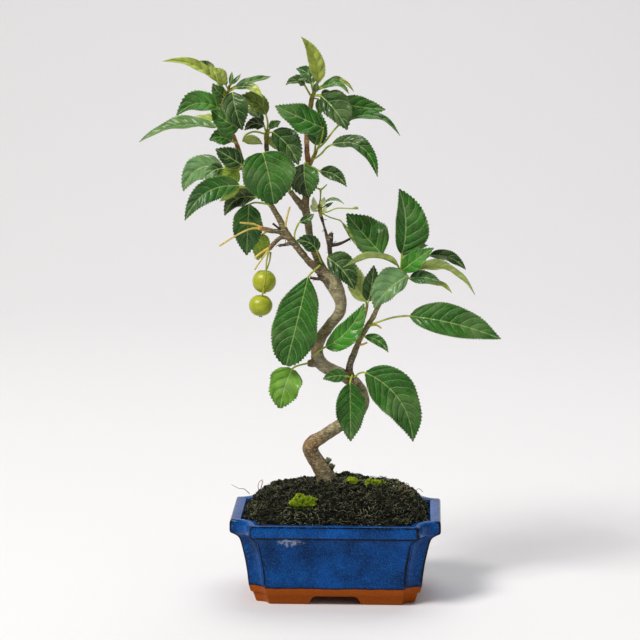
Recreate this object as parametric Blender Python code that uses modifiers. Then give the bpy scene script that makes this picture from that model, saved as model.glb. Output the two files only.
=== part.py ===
"""Crabapple bonsai in a blue glazed pot with stepped-in corners.

Metres, +Z up. The plant's front faces -Y. Places on the plant are given as they
are seen from the front: millimetres to the right of the pot's middle and above the
table, on the upright plane through the pot's middle, and then a depth behind it.
"""
import math

import bmesh
import bpy
from mathutils import Matrix, Vector, noise

MM = 0.001

# Pot, in millimetres
RIM_WIDTH = 155.0
RIM_DEPTH = 115.0
RIM_HEIGHT = 63.0
LIP_WIDTH = 8.0
CORNER_ROUND = 1.7
FLOOR_TOP = 13.0
DRAIN_RADIUS = 6.5
DRAIN_SPACING = 56.0
FOOT_HEIGHT = 7.0
FRONT_GAP_BOTTOM = 40.5
FRONT_GAP_TOP = 32.0
FRONT_GAP_HEIGHT = 6.6
SIDE_GAP_BOTTOM = 26.0
SIDE_GAP_TOP = 19.0
SIDE_GAP_HEIGHT = 6.3
UNDERSIDE = (98.0, 58.0, 7.0, 6.0)

# Outside of the pot from the foot up to the rim's edge, as width, depth, how far
# each hollow corner reaches along the width and along the depth, and height
POT_OUTSIDE = [
    (115.5, 74.5, 9.0, 7.0, 0.0),
    (117.5, 76.5, 9.5, 7.5, 1.2),
    (121.5, 80.5, 10.5, 8.5, 7.6),
    (124.8, 84.3, 12.0, 9.5, 8.3),
    (127.5, 87.0, 12.5, 10.0, 13.0),
    (132.0, 91.5, 13.0, 12.0, 30.0),
    (139.0, 99.0, 14.0, 15.0, 46.0),
    (144.0, 104.0, 14.5, 16.5, 50.5),
    (152.0, 112.0, 15.5, 19.0, 53.0),
    (RIM_WIDTH, RIM_DEPTH, 16.0, 20.0, 54.5),
    (RIM_WIDTH, RIM_DEPTH, 16.0, 20.0, 61.0),
    (RIM_WIDTH - 3.0, RIM_DEPTH - 3.0, 15.5, 19.5, RIM_HEIGHT),
]
LIP_TOP = (RIM_WIDTH - 2 * LIP_WIDTH + 2.0, RIM_DEPTH - 2 * LIP_WIDTH + 2.0, 14.0, 17.0, RIM_HEIGHT)
LIP_INNER = (RIM_WIDTH - 2 * LIP_WIDTH - 1.0, RIM_DEPTH - 2 * LIP_WIDTH - 1.0, 13.5, 16.5, 61.0)

# Inside wall of the pot, from the floor up, in the same order
POT_INSIDE = [
    (118.5, 78.0, 12.0, 9.5, FLOOR_TOP),
    (128.5, 88.5, 12.5, 14.0, 46.0),
    (134.0, 94.0, 13.0, 15.5, 54.0),
]

# Soil
MOUND_EDGE = 60.0
MOUND_RISE = 27.0
MOUND_ROUGHNESS = 0.9
MOUND_TOP = (136.0, 96.0, 13.2, 16.0)
MOUND_OVAL = (66.0, 46.5)
MOUND_RINGS = (0.965, 0.86, 0.7, 0.48, 0.22)

# Plant
BLADE_THICKNESS = 0.7
LEAST_HALF_WIDTH = 0.45
ROW_LENGTHS = (11, 20, 29, 41, 58)
BROAD_WIDTH = 28.0
TOOTH_DEPTH = 0.05
TOOTH_LEAN = 0.18
MIDRIB_REACH = 0.07
STALK_RADIUS = 0.75
SMALL_STALK_RADIUS = 0.62
SMALL_LEAF_WIDTH = 7.0
FRUIT_RADIUS = 8.7
DIMPLE_DEPTH = 0.16
DIMPLE_WIDTH = 0.28
CLEARANCE = 0.35

# The point the plant is looked at from, in millimetres from the pot's middle
VIEWPOINT = Vector((65.5, -1984.0, 545.0))


def seen_at(across, up, depth):
    """Point at the given depth that is seen over (across, up) on the middle plane."""
    on_plane = Vector((across, 0.0, up))
    share = (depth - VIEWPOINT.y) / (0.0 - VIEWPOINT.y)
    return (VIEWPOINT + (on_plane - VIEWPOINT) * share) * MM


def remove_everything():
    for item in list(bpy.data.objects):
        bpy.data.objects.remove(item, do_unlink=True)
    for group in list(bpy.data.collections):
        bpy.data.collections.remove(group)


def new_collection(name):
    made = bpy.data.collections.new(name)
    bpy.context.scene.collection.children.link(made)
    return made


def material(name, colour, roughness, metallic=0.0):
    made = bpy.data.materials.new(name)
    made.use_nodes = True
    shader = made.node_tree.nodes["Principled BSDF"]
    shader.inputs["Base Color"].default_value = (*colour, 1.0)
    shader.inputs["Roughness"].default_value = roughness
    shader.inputs["Metallic"].default_value = metallic
    made.diffuse_color = (*colour, 1.0)
    return made


def object_of(name, mesh, collection, look=None):
    made = bpy.data.objects.new(name, mesh)
    collection.objects.link(made)
    if look is not None:
        mesh.materials.clear()
        mesh.materials.append(look)
    return made


def finished_mesh(item):
    """The evaluated mesh of an object, in world space."""
    graph = bpy.context.evaluated_depsgraph_get()
    mesh = bpy.data.meshes.new_from_object(item.evaluated_get(graph))
    mesh.transform(item.matrix_world)
    return mesh


def smooth_route(points, steps):
    """A smooth curve through the points (tuples of any length), with steps a span."""
    if len(points) < 3 or steps < 2:
        return [tuple(p) for p in points]
    ends = [points[0]] + list(points) + [points[-1]]
    route = []
    for i in range(1, len(ends) - 2):
        p0, p1, p2, p3 = ends[i - 1], ends[i], ends[i + 1], ends[i + 2]
        for k in range(steps):
            t = k / steps
            route.append(tuple(
                0.5 * (2 * b + (c - a) * t + (2 * a - 5 * b + 4 * c - d) * t * t
                       + (3 * b - a - 3 * c + d) * t ** 3)
                for a, b, c, d in zip(p0, p1, p2, p3)))
    route.append(tuple(points[-1]))
    return route


def tube(name, places, collection, rounding=2, extra=0.0):
    """A closed tube along places of (point in metres, radius in millimetres)."""
    curve = bpy.data.curves.new(name, "CURVE")
    curve.dimensions = "3D"
    curve.bevel_depth = MM
    curve.bevel_resolution = rounding
    curve.use_fill_caps = True
    spline = curve.splines.new("POLY")
    spline.points.add(len(places) - 1)
    for dot, (place, radius) in zip(spline.points, places):
        dot.co = (*place, 1.0)
        dot.radius = radius + extra
    shape = bpy.data.objects.new(name, curve)
    collection.objects.link(shape)
    mesh = finished_mesh(shape)
    bpy.data.objects.remove(shape, do_unlink=True)
    work = bmesh.new()
    work.from_mesh(mesh)
    bmesh.ops.remove_doubles(work, verts=work.verts, dist=1e-6)
    bmesh.ops.recalc_face_normals(work, faces=work.faces)
    work.to_mesh(mesh)
    work.free()
    return object_of(name, mesh, collection)


def joined(name, pieces, look, parts, bench):
    """One body from overlapping pieces, by a Boolean union."""
    first = pieces[0]
    rest = pieces[1:]
    if rest:
        others = bpy.data.collections.new(name + "_others")
        bench.children.link(others)
        for piece in rest:
            bench.objects.unlink(piece)
            others.objects.link(piece)
        union = first.modifiers.new("union", "BOOLEAN")
        union.operation = "UNION"
        union.solver = "MANIFOLD"
        union.operand_type = "COLLECTION"
        union.collection = others
    mesh = finished_mesh(first)
    for piece in pieces:
        bpy.data.objects.remove(piece, do_unlink=True)
    if rest:
        bpy.data.collections.remove(others)
    mesh.name = name
    return object_of(name, mesh, parts, look)


def cut_by(item, cutter):
    """Takes the cutter's shape out of the item for good."""
    cut = item.modifiers.new("cut", "BOOLEAN")
    cut.operation = "DIFFERENCE"
    cut.solver = "MANIFOLD"
    cut.object = cutter
    mesh = finished_mesh(item)
    looks = [look for look in item.data.materials if look is not None]
    mesh.materials.clear()
    for look in looks:
        mesh.materials.append(look)
    item.modifiers.clear()
    old = item.data
    item.data = mesh
    mesh.name = old.name + "_cut"
    bpy.data.meshes.remove(old)


def hollow_cornered(width, depth, reach_x, reach_y):
    """Rectangle with each corner scooped out in a hollow curve, edges softened."""
    w, d = width / 2, depth / 2
    soft = CORNER_ROUND
    quarter = [(w - reach_x - soft, -d), (w - reach_x - 0.2 * soft, -d + 0.3 * soft)]
    for turn in (15, 45, 75):
        angle = math.radians(turn)
        quarter.append((w - reach_x * math.cos(angle), -d + reach_y * math.sin(angle)))
    quarter += [(w - 0.3 * soft, -d + reach_y + 0.2 * soft), (w, -d + reach_y + soft)]
    outline = list(quarter)
    outline += [(x, -y) for x, y in reversed(quarter)]
    outline += [(-x, -y) for x, y in quarter]
    outline += [(-x, y) for x, y in reversed(quarter)]
    return outline


def lofted(name, levels, collection):
    """A solid raised level by level from a flat outline, every level alike in count."""
    work = bmesh.new()
    bottom = work.faces.new([work.verts.new(Vector(p) * MM) for p in levels[0]])
    face = bottom
    for level in levels[1:]:
        made = bmesh.ops.extrude_face_region(work, geom=[face])
        if face is not bottom:
            bmesh.ops.delete(work, geom=[face], context="FACES_ONLY")
        face = [g for g in made["geom"] if isinstance(g, bmesh.types.BMFace)][0]
        corners = [loop.vert for loop in face.loops]
        for corner, place in zip(corners, level):
            corner.co = Vector(place) * MM
    bmesh.ops.recalc_face_normals(work, faces=work.faces)
    mesh = bpy.data.meshes.new(name)
    work.to_mesh(mesh)
    work.free()
    return object_of(name, mesh, collection)


def flat_level(width, depth, reach_x, reach_y, height):
    return [(x, y, height) for x, y in hollow_cornered(width, depth, reach_x, reach_y)]


def wedge(name, bottom, top, height, length, along_y, bench):
    """Bar with a trapezoid section, for the gap between two feet."""
    work = bmesh.new()
    bmesh.ops.create_cube(work, size=1.0)
    for vert in work.verts:
        width = top if vert.co.z > 0 else bottom
        side = vert.co.x * width
        reach = vert.co.y * length
        rise = height if vert.co.z > 0 else -1.0
        vert.co = Vector((side, reach, rise) if along_y else (reach, side, rise)) * MM
    bmesh.ops.recalc_face_normals(work, faces=work.faces)
    mesh = bpy.data.meshes.new(name)
    work.to_mesh(mesh)
    work.free()
    return object_of(name, mesh, bench)


def build_pot(parts, bench):
    outline = POT_OUTSIDE + [LIP_TOP, LIP_INNER] + POT_INSIDE[::-1]
    pot = lofted("pot", [flat_level(*level) for level in outline], parts)
    hollow = lofted("underside", [
        flat_level(*UNDERSIDE, -1.0),
        flat_level(*UNDERSIDE, FOOT_HEIGHT),
    ], bench)
    front = wedge("front_gap", FRONT_GAP_BOTTOM, FRONT_GAP_TOP, FRONT_GAP_HEIGHT,
                  2 * RIM_DEPTH, True, bench)
    side = wedge("side_gap", SIDE_GAP_BOTTOM, SIDE_GAP_TOP, SIDE_GAP_HEIGHT,
                 2 * RIM_WIDTH, False, bench)
    drains = []
    for sign in (-1, 1):
        work = bmesh.new()
        middle = Vector((sign * DRAIN_SPACING / 2, 0, (FOOT_HEIGHT + FLOOR_TOP) / 2)) * MM
        bmesh.ops.create_cone(work, cap_ends=True, segments=16, radius1=DRAIN_RADIUS * MM,
                              radius2=DRAIN_RADIUS * MM, depth=2 * FLOOR_TOP * MM,
                              matrix=Matrix.Translation(middle))
        mesh = bpy.data.meshes.new("drain")
        work.to_mesh(mesh)
        work.free()
        drains.append(object_of("drain", mesh, bench))
    for cutter in [hollow, front, side] + drains:
        cut_by(pot, cutter)
        bpy.data.objects.remove(cutter, do_unlink=True)
    pot.data.materials.clear()
    pot.data.materials.append(material("blue_glaze", (0.014, 0.075, 0.30), 0.25))


def mound_height(x, y):
    """Height of the soil's surface over the pot, in millimetres."""
    along = min(abs(2 * x) / (MOUND_TOP[0] + 3.0), 1.0)
    across = min(abs(2 * y) / (MOUND_TOP[1] + 3.0), 1.0)
    rise = MOUND_RISE * (1 - along ** 4) ** 0.7 * (1 - across ** 2.5) ** 0.8 - 3.5 * along
    rough = noise.noise(Vector((x * 0.12, y * 0.12, 3.7))) * MOUND_ROUGHNESS
    return MOUND_EDGE + max(rise, 0.0) + rough


def build_soil(parts):
    gap = 2 * CLEARANCE
    levels = []
    for width, depth, reach_x, reach_y, height in POT_INSIDE:
        lift = CLEARANCE if height == FLOOR_TOP else 0.0
        levels.append(flat_level(width - gap, depth - gap, reach_x, reach_y, height + lift))
    width, depth, reach_x, reach_y = MOUND_TOP
    edge = hollow_cornered(width - gap, depth - gap, reach_x, reach_y)
    levels.append([(x, y, MOUND_EDGE - 2.0) for x, y in edge])
    across, along = MOUND_OVAL
    for share in MOUND_RINGS:
        ring = []
        for x, y in edge:
            turn = math.atan2(y / along, x / across)
            oval = Vector((across * math.cos(turn), along * math.sin(turn)))
            place = Vector((x, y)).lerp(oval, min((1.0 - share) * 2.5, 1.0)) * share
            ring.append((place.x, place.y, mound_height(place.x, place.y)))
        levels.append(ring)
    soil = lofted("soil", levels, parts)
    soil.data.materials.append(material("potting_soil", (0.018, 0.02, 0.012), 0.95))
    return soil


def cushion(name, centre, size, grow, collection):
    """Low rounded clump of moss."""
    work = bmesh.new()
    bmesh.ops.create_uvsphere(work, u_segments=12, v_segments=5, radius=1.0)
    for vert in work.verts:
        bump = 1.0 + 0.07 * noise.noise(vert.co * 2.3 + Vector(centre) * 0.3)
        half = Vector(size) / 2
        vert.co = Vector((vert.co.x * (half.x * bump + grow),
                          vert.co.y * (half.y * bump + grow),
                          vert.co.z * (half.z * bump + grow)))
        vert.co = (vert.co + Vector(centre)) * MM
    mesh = bpy.data.meshes.new(name)
    work.to_mesh(mesh)
    work.free()
    return object_of(name, mesh, collection)


# Wood: (across, up, depth, radius) along each limb, the trunk first
TRUNK = [
    (-7.0, 52.0, 0.0, 6.0), (-6.5, 72.0, 0.0, 7.6), (-8.0, 87.0, -1.0, 7.2),
    (-11.5, 94.0, -2.0, 6.4), (-17.0, 102.5, -3.0, 5.9), (-19.6, 109.0, -4.0, 6.0),
    (-17.0, 114.0, -4.0, 5.5), (-10.0, 118.3, -3.0, 4.8), (0.0, 125.0, 0.0, 4.7),
    (9.0, 130.5, 3.0, 4.6), (16.5, 136.5, 5.0, 4.5), (19.6, 144.0, 6.0, 4.5),
    (18.0, 152.5, 6.0, 4.6), (12.0, 159.5, 5.0, 4.9), (3.0, 165.0, 3.0, 4.8),
    (-7.5, 170.0, 1.0, 4.9), (-13.5, 176.0, 0.0, 4.8), (-14.6, 185.0, 0.0, 4.5),
    (-10.8, 194.0, 0.0, 4.2), (-4.0, 203.5, 0.0, 4.0), (1.5, 210.5, 0.0, 4.1),
    (3.0, 218.0, 0.0, 4.4), (0.8, 225.5, 0.0, 5.4), (-2.2, 232.0, 0.0, 6.2),
    (-7.5, 237.5, 0.0, 4.6), (-12.0, 242.0, 0.0, 4.0),
]
LEFT_LEADER = [
    (-9.5, 240.0, -0.5, 3.6), (-15.0, 244.5, -1.0, 3.2), (-21.5, 250.0, -2.0, 2.7),
    (-29.0, 259.5, -3.0, 2.6), (-36.5, 269.0, -3.5, 2.7), (-42.0, 280.0, -3.5, 2.35),
    (-47.5, 289.5, -3.5, 2.1), (-54.5, 298.5, -3.5, 1.6), (-61.5, 308.5, -3.5, 1.6),
    (-67.0, 318.0, -3.5, 1.6), (-70.5, 327.0, -3.5, 1.8), (-74.0, 337.0, -3.5, 1.75),
    (-76.3, 342.6, -3.5, 1.7),
]
RIGHT_LEADER = [
    (-9.0, 241.0, 1.5, 3.4), (-12.5, 247.5, 3.0, 3.0), (-16.5, 257.0, 4.0, 2.8),
    (-20.0, 268.0, 4.0, 2.7), (-21.3, 279.0, 4.0, 2.7), (-23.0, 288.0, 4.0, 3.0),
    (-22.8, 297.0, 4.5, 2.6), (-22.0, 309.0, 5.0, 2.3), (-21.0, 320.0, 5.0, 2.3),
    (-22.0, 334.0, 5.0, 2.0), (-21.6, 345.5, 5.0, 1.8), (-20.0, 356.0, 5.0, 1.8),
    (-19.1, 364.2, 5.0, 1.9),
]
FORK_STUB = [(-22.8, 287.0, 4.0, 2.6), (-27.5, 292.0, 3.0, 2.5), (-34.0, 300.8, 1.0, 2.1)]
SECOND_TWIG = [
    (-46.5, 288.0, -2.5, 1.5), (-50.5, 296.0, 3.0, 1.4), (-51.5, 308.0, 6.0, 1.5),
    (-51.0, 322.0, 6.0, 1.6), (-51.5, 336.5, 6.0, 1.7),
]
DEAD_SPUR = [
    (-1.5, 232.0, 2.0, 3.4), (-2.6, 240.0, 3.0, 2.2), (-4.8, 248.0, 4.0, 1.8),
    (-5.0, 256.0, 4.0, 1.8), (-5.8, 263.0, 4.0, 1.9), (-8.0, 269.5, 4.0, 1.3),
    (-10.0, 277.0, 4.0, 1.1), (-11.8, 283.0, 4.0, 1.4),
]
DEAD_STUB = [(-5.4, 260.0, 4.0, 1.6), (-4.4, 265.0, 4.2, 1.7), (-4.0, 270.6, 4.4, 1.6)]
DEAD_TWIG = [(-5, 261, 4, 1.4), (0.5, 262, 6, 1.3), (6, 264.2, 8, 1), (12.4, 268, 10, 0.8)]
RIGHT_BRANCH = [
    (11.0, 160.0, 4.5, 3.6), (9.2, 167.0, 2.0, 2.9), (10.2, 174.0, 1.0, 2.6),
    (13.0, 182.0, 0.0, 2.4), (16.5, 190.5, 0.0, 2.15), (22.0, 200.5, 0.0, 2.2),
    (27.5, 209.5, 0.0, 1.9), (31.0, 217.5, 1.0, 1.7), (36.0, 225.5, 2.0, 1.5),
    (41.5, 233.0, 2.5, 1.45), (45.6, 239.2, 2.5, 1.5),
]
SPUR_A = [
    (-37.5, 269.5, -3.5, 2.4), (-42.5, 271.0, -5.0, 1.9), (-48.0, 271.7, -6.0, 1.8),
    (-53.0, 272.8, -7.0, 1.9), (-57.5, 274.0, -8.0, 1.9),
]
SPUR_B = [
    (-36.5, 267.5, -3.5, 2.2), (-41.5, 266.5, -6.0, 1.7), (-46.0, 262.5, -8.0, 1.7),
    (-49.6, 258.0, -9.0, 1.6),
]
SPUR_C = [(-32.5, 263.0, -3.0, 1.9), (-37.0, 261.8, -5.0, 1.4), (-43.0, 260.6, -7.0, 1.3)]
LOWER_SPUR = [
    (-6.5, 234, 0, 2.8), (-11.5, 236, -2, 1.4), (-15, 236.3, -3, 1.2), (-20, 237.2, -4, 1.2),
]
PRUNED_STUB = [(-15.5, 185.0, 0.0, 3.4), (-18.0, 186.2, -1.5, 3.1), (-19.4, 186.8, -2.3, 2.7)]
BROKEN_STUB = [(-13.0, 174.0, 0.0, 3.6), (-19.0, 173.2, -1.0, 2.9), (-21.8, 173.2, -1.4, 2.2)]
SIDE_KNOB = [(11.0, 161.0, 4.0, 3.4), (14.5, 159.5, -0.5, 2.7), (15.8, 157.6, -2.8, 2.2)]
DEAD_TWIG_LEFT = [(-39.0, 271.0, -3.5, 1.0), (-42.5, 273.6, -5.5, 0.8), (-47.0, 277.0, -7.5, 0.8)]
UPRIGHT_STALK = [
    (-38.2, 273, -4, 1), (-37.4, 278, -5.5, 0.8), (-36.2, 283.5, -6.5, 0.7), (-34.6, 289.3, -7.5, 0.7),
]
LONG_STALK = [
    (-56, 273.6, -7.5, 0.9), (-62, 273.3, -9.5, 0.7), (-68, 271.2, -11, 0.65),
    (-76.5, 266.5, -13, 0.65), (-86.3, 260.3, -15, 0.75),
]
SHORT_STALK = [(-56.5, 274.4, -8.0, 0.9), (-61.0, 276.6, -9.5, 0.75), (-71.3, 277.6, -11.5, 0.65)]
SPENT_STALK = [(-48.4, 258.8, -8.0, 1.0), (-53.5, 253.2, -5.5, 0.65), (-60.5, 242.8, -3.5, 0.6)]
STALK_STUB = [(-48.8, 259.4, -9.0, 1.0), (-53.5, 256.8, -9.5, 0.9), (-60.6, 251.5, -10.5, 0.75)]
BRANCH_TWIG = [(23.5, 202.0, 0.0, 1.3), (29.0, 202.2, -1.5, 0.75), (32.8, 199.6, -2.5, 0.6)]
LEAF_SPUR = [(15.5, 188.0, 0.0, 1.6), (18.5, 187.4, -1.5, 0.8), (22.3, 189.0, -2.5, 0.7)]

LIMBS = [
    (TRUNK, 3), (LEFT_LEADER, 1), (RIGHT_LEADER, 1), (RIGHT_BRANCH, 1),
    (FORK_STUB, 1), (SECOND_TWIG, 1), (DEAD_SPUR, 1), (DEAD_STUB, 0), (DEAD_TWIG, 0),
    (SPUR_A, 1), (SPUR_B, 1), (SPUR_C, 0), (LOWER_SPUR, 0), (PRUNED_STUB, 1),
    (BROKEN_STUB, 1), (SIDE_KNOB, 1), (DEAD_TWIG_LEFT, 0), (UPRIGHT_STALK, 0),
    (LONG_STALK, 0), (SHORT_STALK, 0), (SPENT_STALK, 0), (STALK_STUB, 0),
    (BRANCH_TWIG, 0), (LEAF_SPUR, 0),
]

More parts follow.
